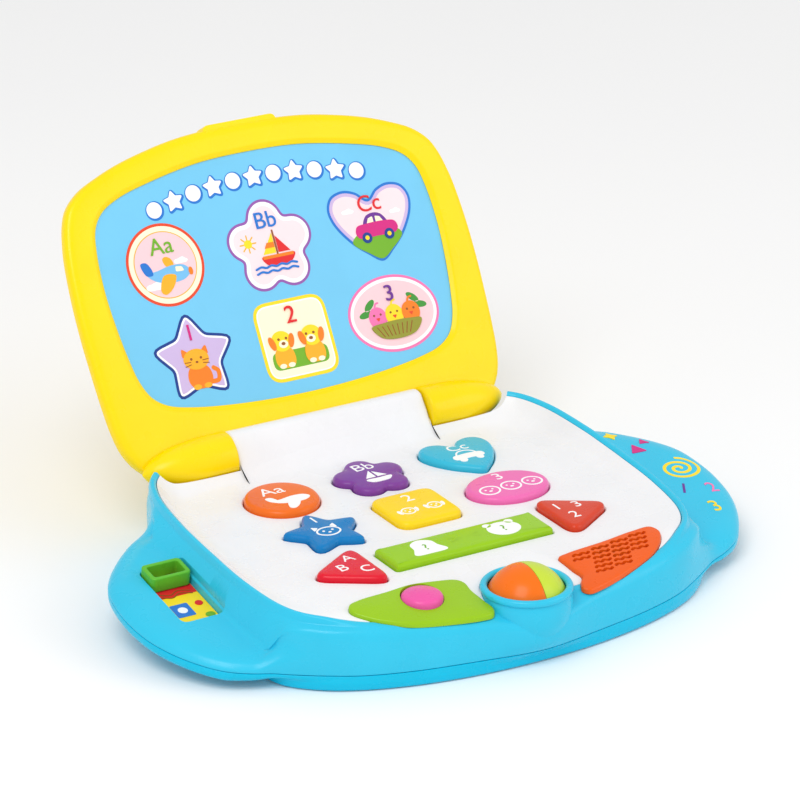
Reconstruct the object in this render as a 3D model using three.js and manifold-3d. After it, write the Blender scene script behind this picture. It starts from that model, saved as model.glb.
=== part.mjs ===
// Toy laptop computer for small children: a wedge-shaped base with two raised carrying
// wings, a white dished keyboard panel, shaped push buttons, a spinning ball, a slider in
// the left wing and a lid that folds forward over the keys.
// Millimetres, +Z up, +X to the child's right, -Y towards the child, table at z = 0.
import * as THREE from 'three';
import { mergeVertices } from 'three/addons/utils/BufferGeometryUtils.js';
import Module from 'manifold-3d';

const wasm = await Module();
wasm.setup();

const GAP = 0.3; // clearance between neighbouring mouldings
const WALL = 2.5; // moulded wall thickness
const SIDES = 60; // points round each ring of the base

// ---------------------------------------------------------------- small maths

const mix = THREE.MathUtils.lerp;
const clamp = THREE.MathUtils.clamp;
const smooth = THREE.MathUtils.smoothstep;

// Closed outline of [x, y] points from its right half, listed front to back.
function mirrored(half) {
  const left = half.filter(([x]) => x > 0).reverse().map(([x, y]) => [-x, y]);
  return [...half, ...left];
}

// Smooth closed curve through the points.
function splined(points, count) {
  const curve = new THREE.CatmullRomCurve3(
    points.map(([x, y]) => new THREE.Vector3(x, y, 0)), true, 'centripetal');
  return curve.getSpacedPoints(count).slice(0, count).map((p) => [p.x, p.y]);
}

// Polygon with every corner rounded to the radius.
function rounded(points, radius, steps = 3) {
  const result = [];
  points.forEach((corner, i) => {
    const before = new THREE.Vector2(...points[(i + points.length - 1) % points.length]);
    const after = new THREE.Vector2(...points[(i + 1) % points.length]);
    const here = new THREE.Vector2(...corner);
    const back = before.sub(here).normalize();
    const on = after.sub(here).normalize();
    const half = Math.acos(clamp(back.dot(on), -1, 1)) / 2;
    const reach = radius / Math.tan(half);
    const bend = new THREE.QuadraticBezierCurve(
      here.clone().addScaledVector(back, reach), here, here.clone().addScaledVector(on, reach));
    bend.getPoints(steps).forEach((p) => result.push([p.x, p.y]));
  });
  return result;
}

// Ellipse that starts at its back point.
function ellipse(width, depth, count) {
  return Array.from({ length: count }, (_, i) => {
    const a = (2 * Math.PI * i) / count + Math.PI / 2;
    return [0.5 * width * Math.cos(a), 0.5 * depth * Math.sin(a)];
  });
}

// Flower outline: round lobes with notches between them, one lobe to the back.
function petals(width, lobes, stepsPerLobe) {
  const lobe = 0.205 * width;
  const centre = width / 2 - lobe;
  return Array.from({ length: lobes * stepsPerLobe }, (_, i) => {
    const off = (Math.PI / lobes) * ((2 * (i % stepsPerLobe) + 1) / stepsPerLobe - 1);
    const a = Math.PI / 2 + (2 * Math.PI * Math.floor(i / stepsPerLobe)) / lobes + off;
    const reach = centre * Math.cos(off) + Math.sqrt(lobe ** 2 - (centre * Math.sin(off)) ** 2);
    return [reach * Math.cos(a), reach * Math.sin(a)];
  });
}

const moved = (points, dx, dy) => points.map(([x, y]) => [x + dx, y + dy]);

// Outline pushed outwards by the distance (inwards when negative); runs anticlockwise.
function grown(points, distance) {
  const count = points.length;
  return points.map(([x, y], i) => {
    const [xa, ya] = points[(i + count - 1) % count];
    const [xb, yb] = points[(i + 1) % count];
    const first = new THREE.Vector2(y - ya, xa - x).normalize();
    const second = new THREE.Vector2(yb - y, x - xb).normalize();
    const normal = first.clone().add(second).normalize();
    const reach = distance / Math.max(normal.dot(first), 0.6);
    return [x + reach * normal.x, y + reach * normal.y];
  });
}

// Distance from the centre to the outline along equally spaced directions.
function reaches(points, centre = [0, 0], count = SIDES) {
  return Array.from({ length: count }, (_, i) => {
    const a = (2 * Math.PI * i) / count;
    const dir = [Math.cos(a), Math.sin(a)];
    let best = Infinity;
    points.forEach((p, k) => {
      const q = points[(k + 1) % points.length];
      const edge = [q[0] - p[0], q[1] - p[1]];
      const to = [p[0] - centre[0], p[1] - centre[1]];
      const det = dir[0] * edge[1] - dir[1] * edge[0];
      if (Math.abs(det) < 1e-9) return;
      const along = (to[0] * edge[1] - to[1] * edge[0]) / det;
      const across = (to[0] * dir[1] - to[1] * dir[0]) / det;
      if (along > 0 && across >= 0 && across <= 1) best = Math.min(best, along);
    });
    return best;
  });
}

// ---------------------------------------------------------------- solids

// Manifold solid from a closed three.js geometry.
function solidOf(geometry) {
  const plain = geometry.clone();
  plain.deleteAttribute('normal');
  plain.deleteAttribute('uv');
  const merged = mergeVertices(plain, 1e-4);
  return new wasm.Manifold(new wasm.Mesh({
    numProp: 3,
    vertProperties: Float32Array.from(merged.attributes.position.array),
    triVerts: Uint32Array.from(merged.index.array),
  }));
}

// Three.js geometry from a manifold solid.
function geometryOf(solid) {
  const mesh = solid.getMesh();
  const geometry = new THREE.BufferGeometry();
  geometry.setAttribute('position', new THREE.BufferAttribute(
    Float32Array.from(mesh.vertProperties), 3));
  geometry.setIndex(new THREE.BufferAttribute(Uint32Array.from(mesh.triVerts), 1));
  geometry.computeVertexNormals();
  return geometry;
}

// Closed solid through a stack of rings with equal point counts. Without a loop the first
// and last rings are capped; with a loop the last ring joins back on to the first.
function ringSolid(rings, loop = false) {
  const count = rings[0].length;
  const points = rings.flat();
  const faces = [];
  const joins = loop ? rings.length : rings.length - 1;
  for (let r = 0; r < joins; r += 1) {
    const low = r * count;
    const high = ((r + 1) % rings.length) * count;
    for (let i = 0; i < count; i += 1) {
      const j = (i + 1) % count;
      faces.push([low + i, low + j, high + j], [low + i, high + j, high + i]);
    }
  }
  if (!loop) {
    const middle = (ring) => ring.reduce((sum, p) => sum.add(p), new THREE.Vector3())
      .divideScalar(ring.length);
    const last = (rings.length - 1) * count;
    points.push(middle(rings[0]), middle(rings[rings.length - 1]));
    for (let i = 0; i < count; i += 1) {
      const j = (i + 1) % count;
      faces.push([points.length - 2, j, i], [points.length - 1, last + i, last + j]);
    }
  }
  const volume = faces.reduce((sum, [a, b, c]) => (
    sum + points[a].dot(new THREE.Vector3().crossVectors(points[b], points[c]))), 0);
  const index = faces.flatMap(([a, b, c]) => (volume > 0 ? [a, b, c] : [a, c, b]));
  const geometry = new THREE.BufferGeometry();
  geometry.setAttribute('position', new THREE.Float32BufferAttribute(
    points.flatMap((p) => [p.x, p.y, p.z]), 3));
  geometry.setIndex(index);
  return solidOf(geometry);
}

const flatRing = (points, z) => points.map(([x, y]) => new THREE.Vector3(x, y, z));

// Upright prism over an outline.
const prism = (points, low, high) => ringSolid([flatRing(points, low), flatRing(points, high)]);

// Box from its ranges.
function box(x, y, z) {
  const geometry = new THREE.BoxGeometry(x[1] - x[0], y[1] - y[0], z[1] - z[0]);
  geometry.translate((x[0] + x[1]) / 2, (y[0] + y[1]) / 2, (z[0] + z[1]) / 2);
  return solidOf(geometry);
}

// Solid turned from [radius, height] points about the given axis through the point.
function turned(profile, axis, at, steps = 20) {
  const geometry = new THREE.LatheGeometry(
    profile.map(([r, h]) => new THREE.Vector2(r, h)), steps);
  if (axis === 'z') geometry.rotateX(Math.PI / 2);
  if (axis === 'x') geometry.rotateZ(-Math.PI / 2);
  geometry.translate(...at);
  const solid = solidOf(geometry);
  if (solid.volume() > 0) return solid;
  geometry.setIndex(Array.from(geometry.index.array).reverse());
  return solidOf(geometry);
}

// Plain rod along an axis between two positions on it.
function rod(radius, axis, at, range, steps = 12) {
  const profile = [[0, range[0]], [radius, range[0]], [radius, range[1]], [0, range[1]]];
  return turned(profile, axis, at, steps);
}

const joined = (...solids) => solids.reduce((sum, s) => sum.add(s));
const without = (solid, ...cutters) => cutters.reduce((rest, c) => rest.subtract(c), solid);

// ---------------------------------------------------------------- the base

// Outline of the base at table level and of the same base with its two wings.
const FRONT_EDGE = [[0, -119], [25, -118], [48, -115], [70, -110], [91, -102.5], [108, -92.5]];
const BACK_EDGE = [
  [119, 63.5], [111, 80.5], [101.5, 93], [90, 102], [75, 108.5], [40, 114.5], [0, 117]];
const SIDE_EDGE = [[121.5, -78], [125.5, -60], [127.5, -35], [128.2, -10], [128.5, 20], [127, 44]];
const WING_EDGE = [
  [125.5, -80], [135, -75.5], [147, -68], [159, -54], [168, -36], [171, -18], [170.5, -2],
  [167.5, 12], [161.5, 22], [151.5, 33], [139, 43.5], [127, 50]];
const PANEL_EDGE = [
  [0, -107], [25, -107], [50, -106], [67, -101.8], [85, -95], [98, -86.5], [107.5, -78],
  [113.5, -66], [117.8, -37], [118.2, -8], [117.5, 12], [116.5, 28], [112, 60], [104.5, 76.5],
  [94, 84], [0, 84]];

const BODY = splined(mirrored([...FRONT_EDGE, ...SIDE_EDGE, ...BACK_EDGE]), 360);
const WINGED = splined(mirrored([...FRONT_EDGE, ...WING_EDGE, ...BACK_EDGE]), 360);
const PANEL = splined(mirrored(PANEL_EDGE), 360);

const body = (grow) => reaches(grown(BODY, grow));
const winged = (grow) => reaches(grown(WINGED, grow));
const panel = (grow) => reaches(grown(PANEL, grow));

// How much of a wing there is in each direction, 0 for plain body and 1 for full wing.
const plainReach = body(0);
const wing = winged(0).map((reach, i) => smooth(reach - plainReach[i], 0, 14));

const FLOOR = 35; // top of the keyboard floor
const seam = (y) => 8.5 + 0.165 * clamp(y + 83, 0, 137); // split between the two shells
const frontSlope = (y) => FLOOR + 0.2 * (y + 85); // the front edge falls away
const floorAt = (y) => Math.min(FLOOR, frontSlope(y));
const backDrop = (y) => 0.36 * Math.max(y - 84, 0);
const rim = (y) => Math.min(41.3 + 0.074 * Math.min(y, 84), frontSlope(y)) - backDrop(y);
const towardsBack = (y) => smooth(y, -100, -80);
const shoulder = (y) => rim(y) - mix(1.8, 3.5, towardsBack(y)) + 2.5 * smooth(y, 84, 110);
const underWing = (y, w) => mix(4, Math.max(4, seam(y) - 7), w);

// Ring of the base at the reaches, lifted to a height that may follow the position.
function baseRing(reach, height) {
  return reach.map((r, i) => {
    const a = (2 * Math.PI * i) / SIDES;
    const y = r * Math.sin(a);
    return new THREE.Vector3(r * Math.cos(a), y, height(y, wing[i]));
  });
}

const blend = (plain, withWing) => plain.map((r, i) => mix(r, withWing[i], wing[i]));

const BALL = [0, -104.5, 26];
const BALL_RADIUS = 20.5;
const COLLAR_RADIUS = 23.9;
const CASE_SCREWS = [[82, -94.5], [119.5, -5], [60, 105]].flatMap(([x, y]) => [[x, y], [-x, y]]);
const BATTERY_ROWS = [20, 36, 52];
const BATTERY_HEIGHT = 10.6;
const DOOR_SCREW = [85.5, 36];
const SWITCH = [-60, 58];
const SPEAKER = [57, -90.5];

const ball = (radius, steps = 24) => {
  const geometry = new THREE.SphereGeometry(radius, steps, steps / 2);
  geometry.rotateX(Math.PI / 2);
  geometry.translate(...BALL);
  return solidOf(geometry);
};

// Soft swelling of the front wall below the ball, between two heights.
const belly = (low, high) => solidOf(new THREE.SphereGeometry(1, 32, 16))
  .scale([62, 24.5, 15]).translate([0, -103, 14])
  .intersect(box([-80, 80], [-150, -113], [low, high]));
const FRONT_SEAM = seam(-113);

// Outline of the battery door: a plate with a screw tongue on one side.
function doorOutline(grow) {
  return [
    [20.4 - grow, 11.9 - grow], [79.6 + grow, 11.9 - grow], [79.6 + grow, 30 - grow],
    [89.6 + grow, 30 - grow], [89.6 + grow, 42 + grow], [79.6 + grow, 42 + grow],
    [79.6 + grow, 60.1 + grow], [20.4 - grow, 60.1 + grow]];
}

function lowerShell() {
  const shell = ringSolid([
    baseRing(body(-3), () => 0),
    baseRing(body(-0.6), () => 0.8),
    baseRing(body(0), underWing),
    baseRing(blend(body(0), winged(-2.5)), (y, w) => underWing(y, w) + 1),
    baseRing(winged(0), (y, w) => underWing(y, w) + 3),
    baseRing(winged(0), seam),
    baseRing(winged(-WALL), seam),
    baseRing(winged(-WALL), (y, w) => underWing(y, w) + 4),
    baseRing(blend(body(-WALL), winged(-5)), (y, w) => underWing(y, w) + 3),
    baseRing(body(-WALL), (y, w) => underWing(y, w) + 2.5),
    baseRing(body(-3), () => WALL),
  ]);
  const wells = CASE_SCREWS.map(([x, y]) => rod(4.4, 'z', [x, y, 0], [0.5, 16]));
  const bores = CASE_SCREWS.flatMap(([x, y]) => [
    rod(3.3, 'z', [x, y, 0], [-1, 12]), rod(1.7, 'z', [x, y, 0], [11, 17])]);
  const batteryBox = box([18, 82], [9.5, 62.5], [1, 20.6]);
  const doorBoss = joined(
    rod(4.5, 'z', [...DOOR_SCREW, 0], [2, 12]), box([81, 86], [31.5, 40.5], [2, 12]));
  const speakerSeat = rod(15.5, 'z', [...SPEAKER, 0], [1, 16.2], 20);
  return without(
    joined(shell, ...wells, batteryBox, doorBoss, speakerSeat, belly(0.4, FRONT_SEAM)),
    ...bores,
    ball(BALL_RADIUS + 0.7),
    box([20, 80], [11.5, 60.5], [1.2, 18.6]),
    prism(doorOutline(GAP), -1, 2.6),
    rod(1.6, 'z', [...DOOR_SCREW, 0], [2, 10]),
    rod(13, 'z', [...SPEAKER, 0], [WALL, 17], 20),
    box([SPEAKER[0] - 3, SPEAKER[0] + 3], [SPEAKER[1] + 10, SPEAKER[1] + 20], [WALL, 17]),
    box([SWITCH[0] - 5.8, SWITCH[0] + 5.8], [SWITCH[1] - 2.5, SWITCH[1] + 2.5], [-1, 3]));
}

// ---------------------------------------------------------------- hinge line

const HINGE = [0, 93, 48];
const LEAN = 0.537; // the open lid leans back this far, radians
const HUMP_HALF = 56.5;
const HUMP_RADIUS = 7.7;

// Turned profile of the right side, or its mirror image for the left side.
const sided = (profile, side) => (side > 0 ? profile : profile.map(([r, h]) => [r, -h]).reverse());

// Room that a foot of the lid turns in about the hinge line, one on each side.
function lidFoot(side, grow = 0) {
  const profile = [
    [0, 57.5 - grow], [16 + grow, 57.5 - grow], [16 + grow, 94], [14.6 + grow, 100],
    [10.5 + grow, 105 + grow], [0, 108 + grow]];
  return turned(sided(profile, side), 'x', [0, 0, 0]);
}

const feet = (grow) => joined(lidFoot(1, grow), lidFoot(-1, grow)).translate(HINGE);

// Barrel over the hinge between the lid's feet, with an apron sloping to the keys.
function arch(inset, half, foot) {
  const radius = HUMP_RADIUS - inset;
  const barrel = Array.from({ length: 15 }, (_, i) => {
    const a = (Math.PI * 2 * i) / 42;
    return [HINGE[1] + radius * Math.cos(a), HINGE[2] + radius * Math.sin(a)];
  });
  const apron = [[83.2, 47.6], [79.6, 41.8], [76.4, 38.2], [72, 35.6], [66, foot]]
    .map(([y, z]) => [y + inset, z]);
  const profile = [[HINGE[1] + radius, foot], ...barrel, ...apron];
  return ringSolid([-half, half].map((x) => profile.map(([y, z]) => new THREE.Vector3(x, y, z))));
}

// ---------------------------------------------------------------- left wing slider

const SLOT_TILT = Math.atan(0.165);
const SLOT_AT = [-139, -7.5, 27.9];
const inSlot = (solid) => solid.rotate([THREE.MathUtils.radToDeg(SLOT_TILT), 0, 0])
  .translate(SLOT_AT);

// ---------------------------------------------------------------- front pads

const RIGHT_PAD = [
  [30.2, -103], [27.2, -112.4], [30.5, -114.6], [44, -110.6], [60.6, -104.2], [74, -98.6],
  [84.6, -93.2], [88.6, -88], [88.8, -83], [85.6, -80.4], [72, -80.4], [57, -81.8], [42, -83.8],
  [30.5, -85.2], [27.6, -87], [28.8, -94]];
const LEFT_PAD = [
  [-87, -86.5], [-85, -93], [-79.5, -100.6], [-67, -106.6], [-53, -110.8], [-38, -113.2],
  [-25.5, -114], [-21.4, -110], [-22.4, -99], [-24.4, -87.6], [-28.3, -84.4], [-45, -82],
  [-61, -79.8], [-80.6, -79.2], [-86.3, -82.6]];

function padSolid(side, grow, low, high, edge) {
  const outline = grown(splined(side > 0 ? RIGHT_PAD : LEFT_PAD, 40), grow);
  const at = (points, lift) => points.map(([x, y]) => new THREE.Vector3(x, y, frontSlope(y) + lift));
  const rings = [at(outline, low), at(outline, high - edge), at(grown(outline, -edge), high)];
  return ringSolid(edge > 0 ? rings : rings.slice(0, 2));
}

const padPocket = (side) => padSolid(side, GAP, -1, 12, 0);

// ---------------------------------------------------------------- upper shell

function upperShell() {
  const rise = (y, share) => mix(seam(y), shoulder(y), share);
  const inner = (y, share) => mix(seam(y), shoulder(y) - WALL, share);
  const bead = (y) => 0.8 * towardsBack(y);
  const shell = ringSolid([
    baseRing(winged(0), (y) => seam(y) + GAP),
    baseRing(winged(0), (y, w) => mix(rise(y, 0.3), seam(y) + 1.5, w)),
    baseRing(blend(body(-0.8), winged(-2.5)), (y, w) => mix(rise(y, 0.6), seam(y) + 4.4, w)),
    baseRing(blend(body(-1.5), winged(-9)), (y, w) => mix(rise(y, 0.85), seam(y) + 6.2, w)),
    baseRing(blend(body(-2.8), body(1.5)), (y, w) => mix(shoulder(y), seam(y) + 7.2, w)),
    baseRing(panel(4.4), (y) => rim(y) - mix(0.6, 1.6, towardsBack(y))),
    baseRing(panel(3.2), (y) => rim(y) + bead(y)),
    baseRing(panel(1.4), (y) => rim(y) + bead(y)),
    baseRing(panel(GAP), rim),
    baseRing(panel(GAP), (y) => rim(y) - 5),
    baseRing(panel(GAP + WALL), (y) => rim(y) - 5),
    baseRing(blend(body(-5), body(-1)), (y, w) => mix(shoulder(y) - WALL, seam(y) + 4.7, w)),
    baseRing(blend(body(-4), winged(-11)), (y, w) => mix(inner(y, 0.8), seam(y) + 3.8, w)),
    baseRing(blend(body(-3.2), winged(-4.8)), (y, w) => mix(inner(y, 0.5), seam(y) + 2.2, w)),
    baseRing(winged(-WALL), (y, w) => mix(inner(y, 0.25), seam(y) + 1, w)),
    baseRing(winged(-WALL), (y) => seam(y) + GAP),
  ], true);
  const bosses = CASE_SCREWS.map(([x, y]) => rod(3.6, 'z', [x, y, 0], [16 + GAP, bossTop(y)]));
  const ribs = CASE_SCREWS.map(([x, y]) => {
    const towardsEdge = y > 0 ? 2 : -6;
    const [reachX, reachY] = Math.abs(x) > 100 ? [Math.sign(x) * 6.5, 0] : [0, towardsEdge];
    const xs = [x, x + reachX].sort((a, b) => a - b);
    const ys = [y, y + reachY].sort((a, b) => a - b);
    return box([xs[0] - 1, xs[1] + 1], [ys[0] - 1, ys[1] + 1], [Math.max(seam(y), 16) + 1, bossTop(y)]);
  });
  const troughs = feet(3.7).intersect(box([-112, 112], [84 + GAP, 114], [20, 38]))
    .intersect(prism(grown(BODY, -WALL - 1.3), 10, 50));
  const bowl = without(
    ball(COLLAR_RADIUS, 28),
    box([-30, 30], [-140, -70], [-10, 9.2]),
    box([-30, 30], [-140, -70], [39.5, 60]));
  const tub = inSlot(box([-13.3, 13.3], [-28.8, 22.8], [-8, -1]));
  return without(
    joined(shell, ...bosses, ...ribs, troughs, bowl, tub, belly(FRONT_SEAM + GAP, 40)),
    ball(BALL_RADIUS + 0.7, 28),
    rod(2.8, 'x', BALL, [-26, 26]),
    feet(1.2),
    box([-HUMP_HALF - GAP, HUMP_HALF + GAP], [80, HINGE[1] + HUMP_RADIUS + GAP], [30, 60]),
    padPocket(1),
    padPocket(-1),
    inSlot(box([-11.3, 11.3], [-26.8, 20.8], [-6, 14])),
    ...CASE_SCREWS.map(([x, y]) => rod(1.6, 'z', [x, y, 0], [16, 24])));
}

// Height at which a screw boss meets the underside of the upper shell.
const bossTop = (y) => (y > 100 ? 36.5 : rim(y) - 4.7);

// ---------------------------------------------------------------- buttons

const HEART_EDGE = [
  [0, -20], [6.5, -15], [13, -8], [19, 3], [20, 11], [17, 17], [11, 19], [5, 17], [0, 12.5]];

const starPoints = Array.from({ length: 10 }, (_, i) => {
  const a = Math.PI / 2 + (Math.PI * i) / 5;
  const r = i % 2 ? 12.8 : 24.6;
  return [r * Math.cos(a), r * Math.sin(a)];
});

const rectangle = (w, d) => [[-w / 2, -d / 2], [w / 2, -d / 2], [w / 2, d / 2], [-w / 2, d / 2]];
const RIGHT_TRIANGLE = rounded([[-11.5, -22], [23, 0.3], [-11.5, 22]], 6, 3);
const LEFT_TRIANGLE = rounded([[11.5, 22], [-23, 0.3], [11.5, -22]], 6, 3);

const BUTTONS = [
  { name: 'button_circle', at: [-53, 43], outline: ellipse(38.4, 38.4, 24), colour: 0xf26a1b },
  { name: 'button_flower', at: [0, 44.4], outline: petals(40, 5, 7), colour: 0x7a3fa6 },
  { name: 'button_heart', at: [54.5, 43], outline: splined(mirrored(HEART_EDGE), 28), colour: 0x3fb8cf },
  { name: 'button_star', at: [-54, -3], outline: rounded(starPoints, 4, 2), colour: 0x1668b8 },
  { name: 'button_square', at: [0, -0.5], outline: rounded(rectangle(36, 36), 7, 3), colour: 0xfbd916 },
  { name: 'button_oval', at: [53.3, -1], outline: ellipse(45, 34, 24), colour: 0xf27db0 },
  { name: 'button_triangle_left', at: [-64.4, -47.3], outline: LEFT_TRIANGLE, colour: 0xe02b30 },
  { name: 'button_triangle_right', at: [64.2, -44.6], outline: RIGHT_TRIANGLE, colour: 0xd9442a },
  { name: 'button_bar', at: [0, -46.7], outline: rounded(rectangle(90, 23), 1.5, 1), colour: 0xa4d23a },
];
const PINK = { name: 'button_pink', at: [-50.5, -90.5], outline: ellipse(20.6, 20.6, 20), colour: 0xf06fae };

// Cap with a domed top, a retaining flange under the panel and a stem for the contact.
function buttonSolid(button, flange, top) {
  const edge = moved(button.outline, ...button.at);
  const cup = ringSolid([
    flatRing(grown(edge, -2), top - 2.4),
    flatRing(grown(edge, -2), flange),
    flatRing(grown(edge, 1), flange),
    flatRing(grown(edge, 1), flange + 1.2),
    flatRing(edge, flange + 1.2),
    flatRing(edge, top - 1.6),
    flatRing(grown(edge, -1.6), top),
  ]);
  return joined(cup, rod(3, 'z', [...button.at, 0], [28, top - 1], 8));
}

// ---------------------------------------------------------------- keyboard panel

function keyboardPanel() {
  const wallAt = (share) => (y) => mix(floorAt(y), rim(y), share);
  const dish = ringSolid([
    baseRing(panel(-20), () => FLOOR),
    baseRing(panel(-12), floorAt),
    baseRing(panel(-6), wallAt(0.22)),
    baseRing(panel(-2.2), wallAt(0.68)),
    baseRing(panel(0), rim),
    baseRing(panel(0), (y) => rim(y) - 5.3),
    baseRing(panel(1.5), (y) => rim(y) - 5.3),
    baseRing(panel(1.5), (y) => rim(y) - 7.3),
    baseRing(panel(-2.5), (y) => rim(y) - 7.3),
    baseRing(panel(-4.5), (y) => wallAt(0.45)(y) - 2.8),
    baseRing(panel(-8), (y) => wallAt(0.15)(y) - 2.6),
    baseRing(panel(-13), (y) => floorAt(y) - 2.6),
    baseRing(panel(-20), () => FLOOR - WALL),
  ]);
  const posts = [[94, -66], [-94, -66], [94, 56], [-94, 56]]
    .map(([x, y]) => rod(3, 'z', [x, y, 0], [23.1, 34]));
  const hump = arch(0, HUMP_HALF, 34);
  const shelf = feet(3.7).intersect(box([-104, 104], [70, 84], [28, 34]));
  const windows = BUTTONS.map((b) => prism(grown(moved(b.outline, ...b.at), 0.4), 20, 50));
  return without(
    joined(without(dish, box([-HUMP_HALF, HUMP_HALF], [86.9, 110], [20, 60])), ...posts, hump, shelf),
    ...windows,
    prism(moved(ellipse(21.4, 21.4, 20), ...PINK.at), 20, 50),
    prism(moved(ellipse(23.6, 23.6, 20), ...PINK.at), 10, 28.4),
    arch(WALL, HUMP_HALF - 4.5, 30),
    rod(3.3, 'x', HINGE, [-HUMP_HALF - 1, HUMP_HALF + 1]),
    feet(1.2),
    ball(COLLAR_RADIUS + GAP, 28),
    rod(8, 'z', [...SPEAKER, 0], [20, 50]),
    padPocket(1),
    padPocket(-1),
    ...CASE_SCREWS.map(([x, y]) => rod(4, 'z', [x, y, 0], [10, bossTop(y) + GAP])));
}

// ---------------------------------------------------------------- pads, ball, inner pieces

function frontPad() {
  return without(padSolid(-1, 0, -0.7, 2, 0.8), prism(moved(ellipse(21.4, 21.4, 20), ...PINK.at), 20, 50));
}

// Speaker cover with rows of short slots through it.
function speakerGrille() {
  const rows = [-88.5, -93, -97.5, -102];
  const slots = rows.flatMap((y, row) => [-14, -4.7, 4.7, 14].map((x) => {
    const slot = rounded(rectangle(6.6, 1.6), 0.7, 1);
    return prism(moved(slot, SPEAKER[0] + x + (row % 2) * 2, y), 20, 50);
  }));
  return without(padSolid(1, 0, -0.7, 2, 0.8), ...slots);
}

// Half of the ball: a dome with a hub for the axle, split on the plane x = 0.
function ballHalf(side) {
  const half = side > 0 ? box([0.15, 40], [-150, -60], [-10, 60]) : box([-40, -0.15], [-150, -60], [-10, 60]);
  const hub = rod(4.6, 'x', BALL, [-19, 19]);
  const dome = without(ball(BALL_RADIUS), ball(BALL_RADIUS - 2));
  return without(joined(dome, hub).intersect(half), rod(2.3, 'x', BALL, [-30, 30]));
}

function boardOutline(inset) {
  const w = 97 - inset;
  const back = 60 - inset;
  return [
    [-w, -70 + inset], [-63 + inset, -70 + inset], [-63 + inset, -102 + inset],
    [-38 - inset, -102 + inset], [-38 - inset, -70 + inset], [w, -70 + inset], [w, back], [-w, back]];
}

function contactMat() {
  const all = [...BUTTONS, PINK];
  const sheet = new THREE.Shape(boardOutline(7).map(([x, y]) => new THREE.Vector2(x, y)));
  const geometry = new THREE.ExtrudeGeometry(sheet, { depth: 1, bevelEnabled: false });
  geometry.translate(0, 0, 23.1);
  const domes = all.map((b) => turned(
    [[0, 23.6], [5, 23.6], [4, 25.6], [0, 25.6]], 'z', [...b.at, 0], 8));
  return joined(solidOf(geometry), ...domes);
}

function mainBoard() {
  const sheet = new THREE.Shape(boardOutline(0).map(([x, y]) => new THREE.Vector2(x, y)));
  const geometry = new THREE.ExtrudeGeometry(sheet, { depth: 1.6, bevelEnabled: false });
  geometry.translate(0, 0, 21.2);
  return solidOf(geometry);
}

// AA cell lying along X with its cap to one end.
function battery(y, way) {
  const profile = [[0, -25.2], [7.1, -25.2], [7.1, 24], [2.7, 24], [2.7, 25.2], [0, 25.2]];
  return turned(sided(profile, way), 'x', [52.6, y, BATTERY_HEIGHT], 14);
}

function springStrip() {
  const cones = BATTERY_ROWS.map((y) => turned(
    [[0, 21], [5, 21], [2.6, 26.6], [0, 26.6]], 'x', [0, y, BATTERY_HEIGHT], 10));
  return joined(box([20.3, 21.1], [13, 59], [4, 17.5]), ...cones);
}

function plateStrip() {
  const bumps = BATTERY_ROWS.map((y) => turned(
    [[0, 78.2], [2.5, 78.2], [3, 79.2], [0, 79.2]], 'x', [0, y, BATTERY_HEIGHT], 8));
  return joined(box([78.9, 79.7], [13, 59], [4, 17.5]), ...bumps);
}

function batteryDoor() {
  return without(prism(doorOutline(0), 0.2, 2.2), rod(1.7, 'z', [...DOOR_SCREW, 0], [0, 3]),
    rod(3.1, 'z', [...DOOR_SCREW, 0], [0, 1.6]));
}

function powerSwitch() {
  const [x, y] = SWITCH;
  const thumb = box([x - 5.4, x - 0.4], [y - 2.1, y + 2.1], [0.3, 3.5]);
  return joined(thumb, box([x - 9.4, x + 3.6], [y - 4, y + 4], [2.8, 7]));
}

// Pan-head screw standing up from its head.
function screw(x, y, head, tip, thick = 1.6) {
  return turned([[0, head], [2.7, head], [2.7, head + thick], [1.3, head + thick],
    [1.3, tip - 0.8], [0, tip]], 'z', [x, y, 0], 8);
}

function speakerDriver() {
  return turned([[0, 16.5], [13.8, 16.5], [13.8, 18.3], [9, 18.3], [7, 23.4], [0, 23.4]], 'z',
    [...SPEAKER, 0]);
}

// ---------------------------------------------------------------- lid

// The lid is drawn upright in its own frame: x across, height up it, depth away from the
// child; the hinge line is the origin. Rings lie in planes of equal depth.
const LID_EDGE = [
  [0, -6.4], [60, -6.6], [86, -6.6], [95, -5.8], [101.5, -2.8], [106.6, 2.6], [110.4, 10],
  [112.6, 20], [113.9, 34], [114.7, 50], [115.3, 70],
  [115, 90], [113.5, 110], [112, 119], [109.5, 128.5], [105.8, 136], [98, 143], [88, 147.8],
  [75, 152.6], [59, 156.8], [35, 161], [0, 162.5]];
const SCREEN_EDGE = [
  [0, 18.8], [40, 20.5], [68, 24], [81, 27.5], [88.5, 33], [93, 42], [95.7, 55], [98, 75],
  [98.8, 92], [97.6, 112], [94.8, 124], [89, 131.5], [78, 137.2], [60, 142], [30, 147.2], [0, 148.4]];
const LID_SIDES = 52;
const LID_CENTRE = [0, 82];
const LID = splined(mirrored(LID_EDGE), 300);
const SCREEN = splined(mirrored(SCREEN_EDGE), 300);
const LID_FRONT = 3.1;
const LID_SPLIT = 9;
const LID_BACK = 15.1;
const LID_FLARE = 1.6; // the front moulding stands this far outside the cover's back edge
const LID_SCREWS = [[107, 60], [106, 108], [72, 147]].flatMap(([x, z]) => [[x, z], [-x, z]]);

function lidRing(edge, grow, depth) {
  return reaches(grown(edge, grow), LID_CENTRE, LID_SIDES).map((r, i) => {
    const a = (2 * Math.PI * i) / LID_SIDES;
    return new THREE.Vector3(r * Math.cos(a), depth, LID_CENTRE[1] + r * Math.sin(a));
  });
}

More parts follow.
